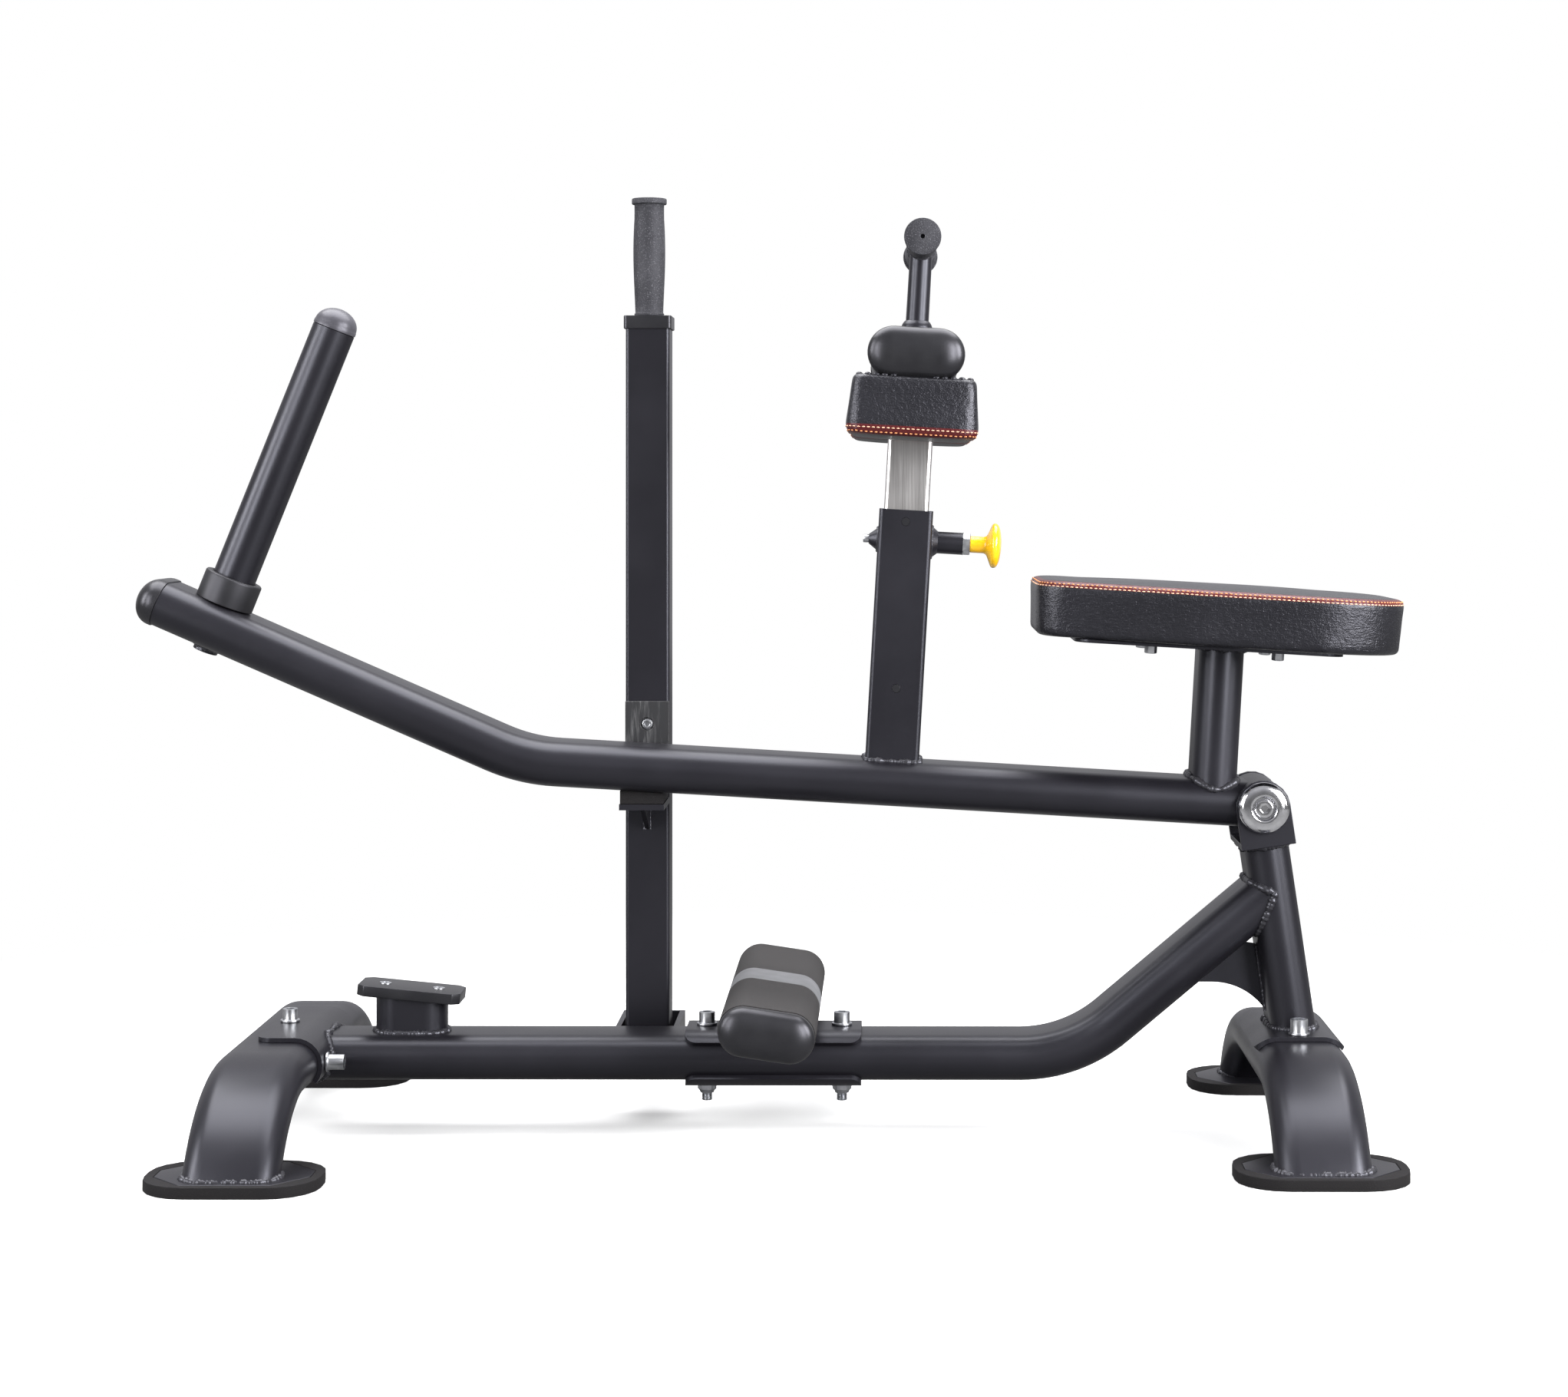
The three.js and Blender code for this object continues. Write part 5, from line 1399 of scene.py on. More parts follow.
@dataclass
class BaseFrame(SubAssembly):
    """The welded base with its legs, saddle plates, feet and bolts."""

    slope: float = math.radians(40)  # of the base tube's rising end
    vertex: float = FRONT_LEG_X + 876.0  # where the rising axis leaves the level one
    tube_bend: float = 160.0
    front_level: float = 300.0  # straight length of the front leg
    rear_level: float = 224.0
    foot_cut: float = 8.5  # height at which the legs' ends are cut off
    upright_top: float = 44.3  # below the pivot, along the upright
    bracket_half: float = 36.3  # from the catch post's middle to its bracket's outer face

    @property
    def climb(self) -> Vector:
        """The direction of the rising tube."""
        return Vector((math.cos(self.slope), 0, math.sin(self.slope)))

    @property
    def lean(self) -> Vector:
        """The direction of the upright."""
        return Vector((PIVOT.x - REAR_LEG_X, 0, PIVOT.z - UPRIGHT_FOOT)).normalized()

    @property
    def corner(self) -> Vector:
        """Where the rising tube's axis meets the upright's."""
        lean, climb = self.lean, self.climb
        gap = Vector((REAR_LEG_X - self.vertex, 0, UPRIGHT_FOOT - BASE_Z))
        share = (gap.x * lean.z - gap.z * lean.x) / (climb.x * lean.z - climb.z * lean.x)
        return Vector((self.vertex + climb.x * share, 0, BASE_Z + climb.z * share))

    @staticmethod
    def leg_end(level: float) -> float:
        """How far out the axis of a leg meets the top of its foot plate."""
        return level / 2 + math.sqrt(LEG_BEND**2 - (PLATE_TOP - LEG_Z + LEG_BEND) ** 2)

    def build(self) -> None:
        """Makes every piece of the base."""
        shop, palette = self.shop, self.shop.palette
        self.tubes()
        self.leg("front_leg", FRONT_LEG_X, self.front_level)
        self.leg("rear_leg", REAR_LEG_X, self.rear_level)
        shop.refine("front_saddle_plate", palette.paint, Body.BASE, 1.2)
        shop.refine("rear_saddle_plate", palette.paint, Body.BASE, 1.2)
        shop.refine("frame_gusset", palette.paint, Body.BASE, 0.6)
        for end in ("front", "rear"):
            for side in ("near", "far"):
                shop.refine(f"{end}_foot_{side}", palette.sole, Body.BASE, 1.2)
        self.bolts()
        self.bumper()
        self.bracket()
        self.beads()

    def tubes(self) -> None:
        """The base tube with its rising end, and the upright."""
        shop, paint = self.shop, self.shop.palette.paint
        tangent = self.tube_bend * math.tan(self.slope / 2)
        corner = self.corner
        rise = math.hypot(corner.x - self.vertex, corner.z - BASE_Z) - tangent
        start = Vector((FRONT_LEG_X + 44.0, 0, BASE_Z))
        path = bent_path(
            start,
            Vector((1, 0, 0)),
            Vector((0, 1, 0)),
            [
                (self.vertex - tangent - start.x, 0),
                (self.tube_bend, -math.degrees(self.slope)),
                (rise, 0),
            ],
        )
        tube = swept(tube_section(14), path)
        shop.piece("base_tube_skin", tube, Matrix(), paint, Body.BASE, "base_tube")
        upright = prism(oval(TUBE_HEIGHT, TUBE_WIDTH, 20), -251.0, -self.upright_top)
        cut_below(
            upright,
            CLEVIS.inverted() @ Vector((REAR_LEG_X, 0, SADDLE_TOP)),
            CLEVIS.to_3x3().inverted() @ Vector((0, 0, 1)),
        )
        bmesh.ops.holes_fill(upright, edges=[e for e in upright.edges if e.is_boundary])
        shop.piece("rear_upright_skin", upright, CLEVIS, paint, Body.BASE, "rear_upright")

    def leg(self, node: str, x: float, level: float) -> None:
        """One arched leg with its two foot plates and their screws.

        Args:
            node: the solid that it stands for.
            x: where the leg is.
            level: length of its straight.
        """
        shop, radius = self.shop, LEG_BEND
        sink = math.acos((9.3 - LEG_Z + radius) / (radius + TUBE_ROUND))
        start_y = -level / 2 - radius * math.sin(sink)
        start = Vector((0.0, start_y, LEG_Z - radius * (1 - math.cos(sink))))
        heading = Vector((0, math.cos(sink), math.sin(sink)))
        bend = (radius, -math.degrees(sink))
        path = bent_path(start, heading, Vector((1, 0, 0)), [bend, (level, 0), bend])
        arch = swept(tube_section(18), path)
        cut_below(arch, Vector((0, 0, self.foot_cut)), Vector((0, 0, 1)))
        reach = self.leg_end(level) - 17.0
        plan = rounded(chamfered(80.0, 52.5, 34.0, 38.0), 3.0, 3)
        plates = [moved(prism(plan, 6.3, PLATE_TOP, 0.8), at(0, side * reach)) for side in (-1, 1)]
        shop.piece(f"{node}_skin", joined(arch, *plates), at(x), shop.palette.paint, Body.BASE, node)
        screw = turned([(0, 0), (3.4, 0), (3.4, 0.5), (2.6, 1.1), (1.2, 1.2), (0.9, 0.5), (0, 0.4)], 20)
        places = [at(x, side * (reach + 43.5), 12.2) for side in (-1, 1)]
        shop.set_of(f"{node}_foot_screws", screw, places, shop.palette.sole, Body.BASE)

    def bolts(self) -> None:
        """The zinc bolts that hold the legs and the footrest."""
        shop, zinc = self.shop, self.shop.palette.zinc
        top = SocketBolt(8.3, 12.0, 10.8, 2.5, 5.2)
        side = SocketBolt(8.3, 17.0, 10.8, 2.5, 5.2)
        rear = SocketBolt(9.5, 14.5, 11.5, 2.5, 5.2)
        side_x = FRONT_LEG_X + 55.6
        for node, bolt, place in (
            ("front_bolt_top", top, at(FRONT_LEG_X, 0, SADDLE_TOP)),
            ("front_bolt_near", side, at(side_x, -77.0, LEG_Z) @ frame_along("x")),
            ("front_bolt_far", side, at(side_x, 77.0, LEG_Z) @ frame_along("x")),
            ("rear_bolt_near", rear, at(REAR_LEG_X, -76.0, SADDLE_TOP)),
            ("rear_bolt_far", rear, at(REAR_LEG_X, 76.0, SADDLE_TOP)),
        ):
            shop.piece(f"{node}_head", bolt.mesh(), place, zinc, Body.BASE, node)
        for node, offset in (("footrest_bolt_front", -75.5), ("footrest_bolt_rear", 75.5)):
            head = moved(SocketBolt(9.0, 12.0, 11.5, 2.5, 5.2).mesh(), at(0, 0, 115.6))
            thread = [(0.0, 31.2)]
            for k in range(8):
                thread += [(5.2, 31.6 + k * 1.75), (5.95, 32.5 + k * 1.75)]
            thread += [(5.9, 115.0), (0.0, 115.0)]
            bolt = joined(head, turned(thread, 32))
            place = at(FOOTREST_X + offset)
            shop.piece(f"{node}_whole", bolt, place, zinc, Body.BASE, node, sharp=30)

    def bumper(self) -> None:
        """The rubber bumper on its welded block."""
        shop, palette = self.shop, self.shop.palette
        shop.refine("bumper_block", palette.paint, Body.BASE, 0.5)
        top = at(BUMPER_X, 0, 159.0) @ tilt(5.5, "Y")
        pad = prism(rounded(chamfered(57.5, 31.0, 8.0, 8.0), 2.0, 3), -12.0, 0.0, 1.0)
        shop.piece("bumper_pad_skin", pad, top, palette.bumper, Body.BASE, "bumper_pad")
        screw = SocketBolt(6.6, 1.4, 7.4, 0.8, 3.4).mesh()
        places = [top @ at(x, 0, -1.4) for x in (-30.0, 30.0)]
        shop.set_of("bumper_screws", screw, places, palette.zinc, Body.BASE)

    def bracket(self) -> None:
        """The catch post's bracket and pivot bolt."""
        shop, palette = self.shop, self.shop.palette
        shop.refine("catch_bracket", palette.paint, Body.BASE, 0.7)
        heads = [
            moved(
                SocketBolt(9.0, 6.0, 12.0, 2.0, 5.0).mesh(),
                at(side * self.bracket_half) @ frame_along("x", side),
            )
            for side in (-1, 1)
        ]
        shank = moved(turned([(0, -36), (7.9, -36), (7.9, 36), (0, 36)], 32), frame_along("x"))
        node, bolt = "catch_pivot_bolt", joined(*heads, shank)
        shop.piece(f"{node}_whole", bolt, CATCH, palette.zinc, Body.BASE, node)

    def beads(self) -> None:
        """The weld beads of the base."""
        seams = [
            (self.rising_seam(), True),
            (self.front_seam(), True),
            *((seam, True) for seam in self.upright_seams()),
        ]
        block = [Vector((BUMPER_X + x, y, BASE_Z + oval_height(y))) for x, y in oval(80.0, 50.0, 14)]
        seams.append((block, True))
        for x, level in ((FRONT_LEG_X, self.front_level), (REAR_LEG_X, self.rear_level)):
            for y in (-self.leg_end(level), self.leg_end(level)):
                foot = oval(TUBE_WIDTH, TUBE_HEIGHT + 3.0, 16)
                seams.append(([Vector((x + u, y + v, 12.4)) for u, v in foot], True))
        for x in (CATCH_X - 36.2, CATCH_X + 36.2):
            seams.append((self.bracket_seam(x), False))
        for offset, z in ((34.0, 117.5), (-14.0, 121.5)):
            across = [Vector((FOOTREST_X + offset, y, z)) for y in (-40.0, 40.0)]
            seams.append((across, False))
        self.shop.weld("base_weld_beads", seams, Body.BASE)
        self.shop.weld("gusset_beads", self.gusset_seams(), Body.BASE, 2.4)

    def rising_seam(self) -> list[Vector]:
        """Round the rising tube, where it meets the upright's front."""
        inverse = CLEVIS.inverted()
        climb = self.climb
        step = inverse.to_3x3() @ climb
        across = Vector((-climb.z, 0, climb.x))
        ring = []
        for y, v in tube_section(16):
            point = self.corner + Vector((0, y, 0)) + across * v
            face = -oval_height(y) - 0.3
            ring.append(point + climb * ((face - (inverse @ point).x) / step.x))
        return ring

    def front_seam(self) -> list[Vector]:
        """Round the base tube, where it meets the front saddle plate."""
        middle = FRONT_LEG_X + TUBE_FLAT
        return [
            Vector((middle + math.sqrt(30.6**2 - (BASE_Z + v - LEG_Z) ** 2), y, BASE_Z + v))
            for y, v in tube_section(16)
        ]

    def upright_seams(self) -> list[list[Vector]]:
        """Round the upright's foot and its top."""
        section = oval(TUBE_HEIGHT, TUBE_WIDTH, 16)
        foot = CLEVIS.inverted() @ Vector((REAR_LEG_X, 0, 118.4))
        slant = math.tan(-UPRIGHT_LEAN)
        return [
            [CLEVIS @ Vector((foot.x + x, y, foot.z - x * slant)) for x, y in section],
            [CLEVIS @ Vector((x, y, -44.1)) for x, y in section],
        ]

    @staticmethod
    def bracket_seam(x: float) -> list[Vector]:
        """Up the base tube's far round, where one cheek of the bracket meets it."""
        return [
            Vector((x, TUBE_FLAT + 0.3 + math.sqrt(TUBE_ROUND**2 - (z - BASE_Z) ** 2), z))
            for z in range(62, 104, 3)
        ]

    def gusset_seams(self) -> list[Seam]:
        """The seams along the gusset's two straight edges, on both faces."""
        climb, lean = self.climb, self.lean
        below = Vector((climb.z, 0, -climb.x))
        ahead = Vector((-lean.z, 0, lean.x))
        face = 25.1
        seams: list[Seam] = []
        for y in (-3.0, 3.0):
            vertex = Vector((self.vertex, y, BASE_Z)) + below * face
            seams.append(([vertex + climb * s for s in (157.0, 222.0)], False))
            corner = self.corner + Vector((0, y, 0)) + ahead * face
            seams.append(([corner - lean * s for s in (62.0, 135.0)], False))
        return seams


@dataclass
class Pivot(SubAssembly):
    """The clevis, the shaft's bright caps and their screws."""

    cheek: float = 56.9  # from the middle to the clevis's outer face
    cap_radius: float = 28.5
    sleeve_half: float = 46.6

    def cap_profile(self) -> Outline:
        """The bright cap's section: a dome with a recess for its screw."""
        dome = []
        for share in (k / 9 for k in range(10)):
            height = 3.0 + 9.0 * math.sin(math.radians(90 * share))
            dome.append((self.cap_radius * (1 - 0.42 * share**2.1), height))
        foot = [(0.0, 0.3), (self.cap_radius - 0.9, 0.3), (self.cap_radius, 1.2)]
        return foot + dome + [(14.4, 12.2), (13.2, 11.6), (12.6, 10.4), (12.2, 5.2), (0.0, 5.0)]

    def build(self) -> None:
        """Makes the pieces round the pivot."""
        shop, palette = self.shop, self.shop.palette
        shop.refine("pivot_clevis", palette.paint, Body.BASE, 1.0)
        for side, label in ((-1, "near"), (1, "far")):
            place = CLEVIS @ at(0, side * self.cheek) @ frame_along("y", side)
            cap = turned(self.cap_profile(), 96)
            node = f"pivot_cap_{label}"
            shop.piece(f"{node}_dome", cap, place, palette.chrome, Body.BASE, node)
            screw = SocketBolt(9.4, 5.2, 10.6, 0.6, 4.6).mesh()
            seat = place @ at(0, 0, 5.0)
            shop.piece(f"pivot_screw_{label}", screw, seat, palette.chrome, Body.BASE)
        end, edge = self.sleeve_half, self.sleeve_half - 0.8
        sleeve = turned(
            [(20.0, -end), (28.2, -end), (29.0, -edge), (29.0, edge), (28.2, end), (20.0, end)],
            72,
            closed=True,
        )
        place = ARM @ frame_along("y")
        shop.piece("pivot_sleeve_skin", sleeve, place, palette.paint, Body.ARM, "pivot_sleeve")
        shop.refine("pivot_shaft", palette.steel, Body.BASE, 0.3)
        shop.refine("pivot_bush_near", palette.bronze, Body.ARM, 0.3)
        shop.refine("pivot_bush_far", palette.bronze, Body.ARM, 0.3)


@dataclass
class Footrest(SubAssembly):
    """The footrest tube, its tread, end caps and clamp."""

    clamp_half: float = 97.5
    clamp_corner: float = 12.0
    clamp_inside: float = 25.3
    clamp_outside: float = 31.3
    tread_half: float = 211.0

    def build(self) -> None:
        """Makes the footrest."""
        shop, palette = self.shop, self.shop.palette
        cover, cap_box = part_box("footrest_cover"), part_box("footrest_cap_near")
        place = at(FOOTREST_X) @ tilt(8.5, "Y")
        place.translation.y = (cover[0][1] / MM + cover[1][1] / MM) / 2
        place.translation.z = (cap_box[0][2] + cap_box[1][2]) / 2 / MM
        on_base = at(FOOTREST_X, 0.0, BASE_Z)
        tube = joined(moved(crossbar_tube(), place), moved(self.clamp(), on_base))
        shop.piece("footrest_tube_skin", tube, Matrix(), palette.paint, Body.BASE, "footrest_tube")
        below = on_base @ Matrix.Rotation(math.pi, 4, "X")
        lower = self.clamp()
        shop.piece(
            "footrest_clamp_skin", lower, below, palette.paint, Body.BASE, "footrest_clamp_lower"
        )
        nut = turned([(0, 0), (10.6, 0), (10.6, 8.6), (8.4, 10.6), (7.4, 13.2), (0, 13.4)], 6)
        places = [below @ at(x, 0, 31.2) for x in (-75.5, 75.5)]
        shop.set_of("footrest_nuts", nut, places, palette.zinc, Body.BASE)
        shell = self.wrap(26.9) + self.wrap(25.3)[::-1]
        tread = moved(prism(shell, -self.tread_half, self.tread_half), frame_along("y"))
        shop.piece("footrest_tread_sheet", tread, place, palette.tread, Body.BASE, "footrest_cover")
        for side, label in ((-1, "near"), (1, "far")):
            end = place @ at(0, side * CROSSBAR_HALF) @ frame_along("y", side)
            node = f"footrest_cap_{label}"
            cap = EndCap(19.0).mesh()
            shop.piece(f"{node}_dome", cap, end, palette.plastic, Body.BASE, node)

    def clamp(self) -> Mesh:
        """Half of the clamp: a plate wrapped over the base tube, with rounded corners."""
        half, corner = self.clamp_half, self.clamp_corner
        stations = [-half + corner * (1 - math.cos(math.radians(15 * k))) for k in range(7)]
        stations += [-x for x in reversed(stations)]
        rings = []
        for x in stations:
            inner = max(0.0, abs(x) - (half - corner))
            rise = corner - math.sqrt(max(0.0, corner**2 - inner**2))
            wrap = 50.0 - math.degrees(rise / 28.3)
            section = (
                arc((TUBE_FLAT, 0.0), self.clamp_outside, 90 - wrap, 90, 10)
                + arc((-TUBE_FLAT, 0.0), self.clamp_outside, 90, 90 + wrap, 10)
                + arc((-TUBE_FLAT, 0.0), self.clamp_inside, 90 + wrap, 90, 10)
                + arc((TUBE_FLAT, 0.0), self.clamp_inside, 90, 90 - wrap, 10)
            )
            rings.append([Vector((x, y, z)) for y, z in section])
        return loft(rings)

    @staticmethod
    def wrap(radius: float) -> Outline:
        """One face of the tread's open section over the tube, seen along it."""
        rear = arc((TUBE_FLAT, 0.0), radius, -30, 90, 14)
        front = arc((-TUBE_FLAT, 0.0), radius, 90, 210, 14)
        return [(x, -y) for x, y in rear + front]


@dataclass
class LeverArm(SubAssembly):
    """The arm tube with its horn, seat post and knee sleeve."""

    bend: float = 200.0
    root: float = 20.0  # from the pivot to the tube's end, before it is coped
    cope: float = 28.6  # radius to which that end is cut
    nose: float = 441.0  # from the bend to the front end
    horn_radius: float = 24.0
    horn_length: float = 331.0
    post_width: float = 90.0

    def build(self) -> None:
        """Makes the arm."""
        self.tube()
        self.horn()
        self.seat_post()
        self.knee()
        self.beads()

    def tube(self) -> None:
        """The bent arm, coped round the pivot sleeve, and its end cap."""
        shop, palette = self.shop, self.shop.palette
        tangent = self.bend * math.tan(INCLINE_ANGLE / 2)
        ahead, across = Vector((-1, 0, 0)), Vector((0, 1, 0))
        path = bent_path(
            Vector((-self.root, 0, 0)),
            ahead,
            across,
            [
                (BEND_REACH - self.root - tangent, 0),
                (self.bend, math.degrees(INCLINE_ANGLE)),
                (self.nose - tangent, 0),
            ],
        )
        section = tube_section(20)
        mesh = swept(section, path)
        mesh.verts.ensure_lookup_table()
        for vert in mesh.verts[: len(section)]:
            vert.co.x = -math.sqrt(self.cope**2 - vert.co.z**2)
        shop.piece("arm_tube_skin", mesh, ARM, palette.paint, Body.ARM, "arm_tube")
        end = INCLINE @ at(-self.nose) @ facing(ahead, across)
        cap = EndCap(26.0).mesh()
        shop.piece("arm_end_cap_dome", cap, end, palette.plastic, Body.ARM, "arm_end_cap")

    def horn(self) -> None:
        """The weight horn with its cap and collar."""
        shop, palette = self.shop, self.shop.palette
        base, radius = HORN_FOOT, self.horn_radius
        end = base + self.horn_length
        spigot = [(0, -32), (13.4, -32), (14, -31.4), (14, base)]
        tube = turned([*spigot, (radius, base), (radius, end), (0, end)], 72)
        shop.piece("horn_tube_skin", tube, HORN, palette.paint, Body.ARM, "horn_tube")
        rim = [(23.2, end + 0.2), (24.5, end + 0.9), (24.5, end + 4.2), (24.2, end + 4.8)]
        dome = []
        for angle in (math.radians(6 * k) for k in range(1, 15)):
            dome.append((radius * math.cos(angle), end + 5.0 + 19.2 * math.sin(angle)))
        cap = turned([(0, end + 0.2), *rim, *dome, (0, end + 24.3)], 72)
        shop.piece("horn_end_cap_dome", cap, HORN, palette.pale_plastic, Body.ARM, "horn_end_cap")
        outside = [(24.2, 0.2), (31.6, 0.2), (32.5, 1.1), (32.5, 29.5), (32.2, 30.8)]
        rounding = [(31.2, 31.8), (30.0, 32.0), (25.6, 32.0), (24.9, 31.2), (24.2, 30.2)]
        loop = [(wide, base + height) for wide, height in outside + rounding]
        collar = turned(loop, 80, closed=True)
        shop.piece("horn_collar_ring", collar, HORN, palette.collar, Body.ARM, "horn_collar")

    def seat_post(self) -> None:
        """The seat post with its plate and screws."""
        shop, palette = self.shop, self.shop.palette
        column = moved(prism(oval(TUBE_HEIGHT, self.post_width, 20), 8.0, 173.0), at(POST_X))
        plate = prism(rounded(rectangle(147.0, 100.0), 20.0, 6), 172.2, 176.2, 0.6)
        whole = joined(column, moved(plate, at(-73.0)))
        shop.piece("seat_post_skin", whole, ARM, palette.paint, Body.ARM, "seat_post")
        head = turned([(0, 0), (6.9, 0), (6.9, 8.4), (6.2, 9.2), (4.2, 9.6), (0, 9.7)], 6)
        below = ARM @ at(-64.0, 0, 172.1) @ Matrix.Rotation(math.pi, 4, "X")
        places = [below @ at(x, y) for x in (-70.0, 70.0) for y in (-58.0, 58.0)]
        shop.set_of("seat_screws", head, places, palette.zinc, Body.ARM)

    def knee(self) -> None:
        """The knee sleeve with its bushes, stop stud and barrel nut."""
        shop, palette = self.shop, self.shop.palette
        shop.refine("knee_sleeve", palette.paint, Body.ARM, 0.5)
        for label in ("upper", "lower"):
            shop.refine(f"guide_bush_{label}", palette.plastic, Body.ARM, 0.25)
        stud = turned([(0, 0), (4.6, 0), (4.6, 5.4), (4.0, 6.2), (0, 6.3)], 40)
        place = KNEE @ at(-40.2, 0, PIN_Z) @ frame_along("x", -1)
        shop.piece("stop_stud", stud, place, palette.zinc, Body.ARM)
        nut = joined(
            turned([(0, 0), (12.1, 0), (12.1, 6.9), (11.4, 7.6), (0, 7.6)], 6),
            turned([(0, -0.6), (12.6, -0.6), (12.6, 0.2), (0, 0.2)], 48),
        )
        place = KNEE @ at(65.7, 0, PIN_Z) @ frame_along("x")
        shop.piece("barrel_nut", nut, place, palette.zinc, Body.ARM, sharp=20)

    def beads(self) -> None:
        """The weld beads that ride with the arm."""
        foot = [
            ARM @ Vector((POST_X + x * 1.03, y * 1.01, oval_height(y) + 0.8))
            for x, y in oval(TUBE_HEIGHT, self.post_width, 18)
        ]
        top = [
            ARM @ Vector((POST_X + x, y, 171.8))
            for x, y in oval(TUBE_HEIGHT, self.post_width, 18)
        ]
        sleeve = [
            KNEE @ Vector((x, y, oval_height(y) + 0.2))
            for x, y in dense(rounded(rectangle(30, 30), 5.0, 3))
        ]
        spigot = [HORN @ Vector((x, y, -25.2)) for x, y in circle(14.2, 30)]
        seams = [(seam, True) for seam in (foot, top, sleeve, spigot)]
        self.shop.weld("arm_weld_beads", seams, Body.ARM, 3.6)
        bosses = [
            ([KNEE @ Vector((x, y, PIN_Z + z)) for y, z in circle(radius, count)], True)
            for x, radius, count in ((-30.2, 13.2, 24), (30.2, 18.0, 30))
        ]
        self.shop.weld("sleeve_boss_beads", bosses, Body.ARM, 1.5)


@dataclass
class ThighCarriage(SubAssembly):
    """The sliding post with its crossbar and handles."""

    handle_radius: float = 12.5
    handle_half: float = 138.0
    grip: HandGrip = HandGrip(115.0, 12.8, 15.5, 2.4)

    def build(self) -> None:
        """Makes the carriage."""
        shop, palette = self.shop, self.shop.palette
        shop.refine("sliding_post", palette.steel, Body.CARRIAGE, 0.0)
        bar = moved(crossbar_tube(), at(0, 0, CROSSBAR_Z))
        plan = rounded(rectangle(52.0, 80.0), 5.0, 4)
        plates = [moved(prism(plan, 441.2, 445.2, 0.5), at(0, side * 129.8)) for side in (-1, 1)]
        whole = joined(bar, *plates)
        shop.piece("pad_crossbar_skin", whole, KNEE, palette.paint, Body.CARRIAGE, "pad_crossbar")
        for side, label in ((-1, "near"), (1, "far")):
            aside = frame_along("y", side)
            place = KNEE @ at(0, side * CROSSBAR_HALF, CROSSBAR_Z) @ aside
            node, cap = f"crossbar_cap_{label}", EndCap(19.0, 2.6).mesh()
            shop.piece(f"{node}_dome", cap, place, palette.plastic, Body.CARRIAGE, node)
            place = KNEE @ at(0, side * 30.0, HANDLE_Z) @ aside
            node, grip = f"handle_grip_{label}", self.grip.mesh()
            shop.piece(f"{node}_sleeve", grip, place, palette.grip, Body.CARRIAGE, node)
        self.handle()
        self.beads()

    def handle(self) -> None:
        """The T-handle with its domed foot."""
        radius, half = self.handle_radius, self.handle_half
        foot = arc((5.5, 507.0), 12.0, 0, 52, 8)
        stem = turned([(0, 494.0), (17.5, 494.0), *foot, (radius, HANDLE_Z), (0, HANDLE_Z)], 56)
        cross = turned([(0, -half), (radius, -half), (radius, half), (0, half)], 56)
        whole = joined(stem, moved(cross, at(0, 0, HANDLE_Z) @ frame_along("y")))
        self.shop.piece(
            "t_handle_skin", whole, KNEE, self.shop.palette.paint, Body.CARRIAGE, "t_handle"
        )

    def beads(self) -> None:
        """The weld beads that ride with the carriage."""
        tee = [KNEE @ Vector((x, y, HANDLE_Z - abs(y))) for x, y in circle(12.6, 36)]
        square = dense(rounded(rectangle(25, 25), 5.0, 3))
        top = [KNEE @ Vector((x, y, 444.6)) for x, y in square]
        self.shop.weld("carriage_weld_beads", [(tee, True), (top, True)], Body.CARRIAGE, 2.2)


@dataclass
class PullPin(SubAssembly):
    """The spring pin with its yellow knob."""

    def build(self) -> None:
        """Makes the pin in two finishes."""
        shop, palette = self.shop, self.shop.palette
        place = KNEE @ at(0, 0, PIN_Z) @ frame_along("x")
        neck = [(9.2, 88.5), (11.0, 91.8), (17.5, 94.8), (23.4, 97.4)]
        crown = [(25.0, 100.2), (23.7, 103.4), (19.4, 105.8), (13.6, 107.2), (7.0, 108.1)]
        profile = [(0, 73.4), (8.7, 73.4), (9.2, 73.9), *smooth_profile(neck + crown), (0, 108.3)]
        knob = turned(profile, 96)
        shop.piece("pin_knob", knob, place, palette.yellow, Body.PIN, "pull_pin")
        nose = [(0, 25.5), (4.4, 25.5), (5.0, 26.1), (5.0, 30.3)]
        collar = [(7.6, 30.3), (7.6, 33.3), (5.0, 33.3)]
        rod = turned([*nose, *collar, (5.0, 74.0), (0, 74.0)], 40)
        shop.piece("pin_rod", rod, place, palette.pin_rod, Body.PIN)


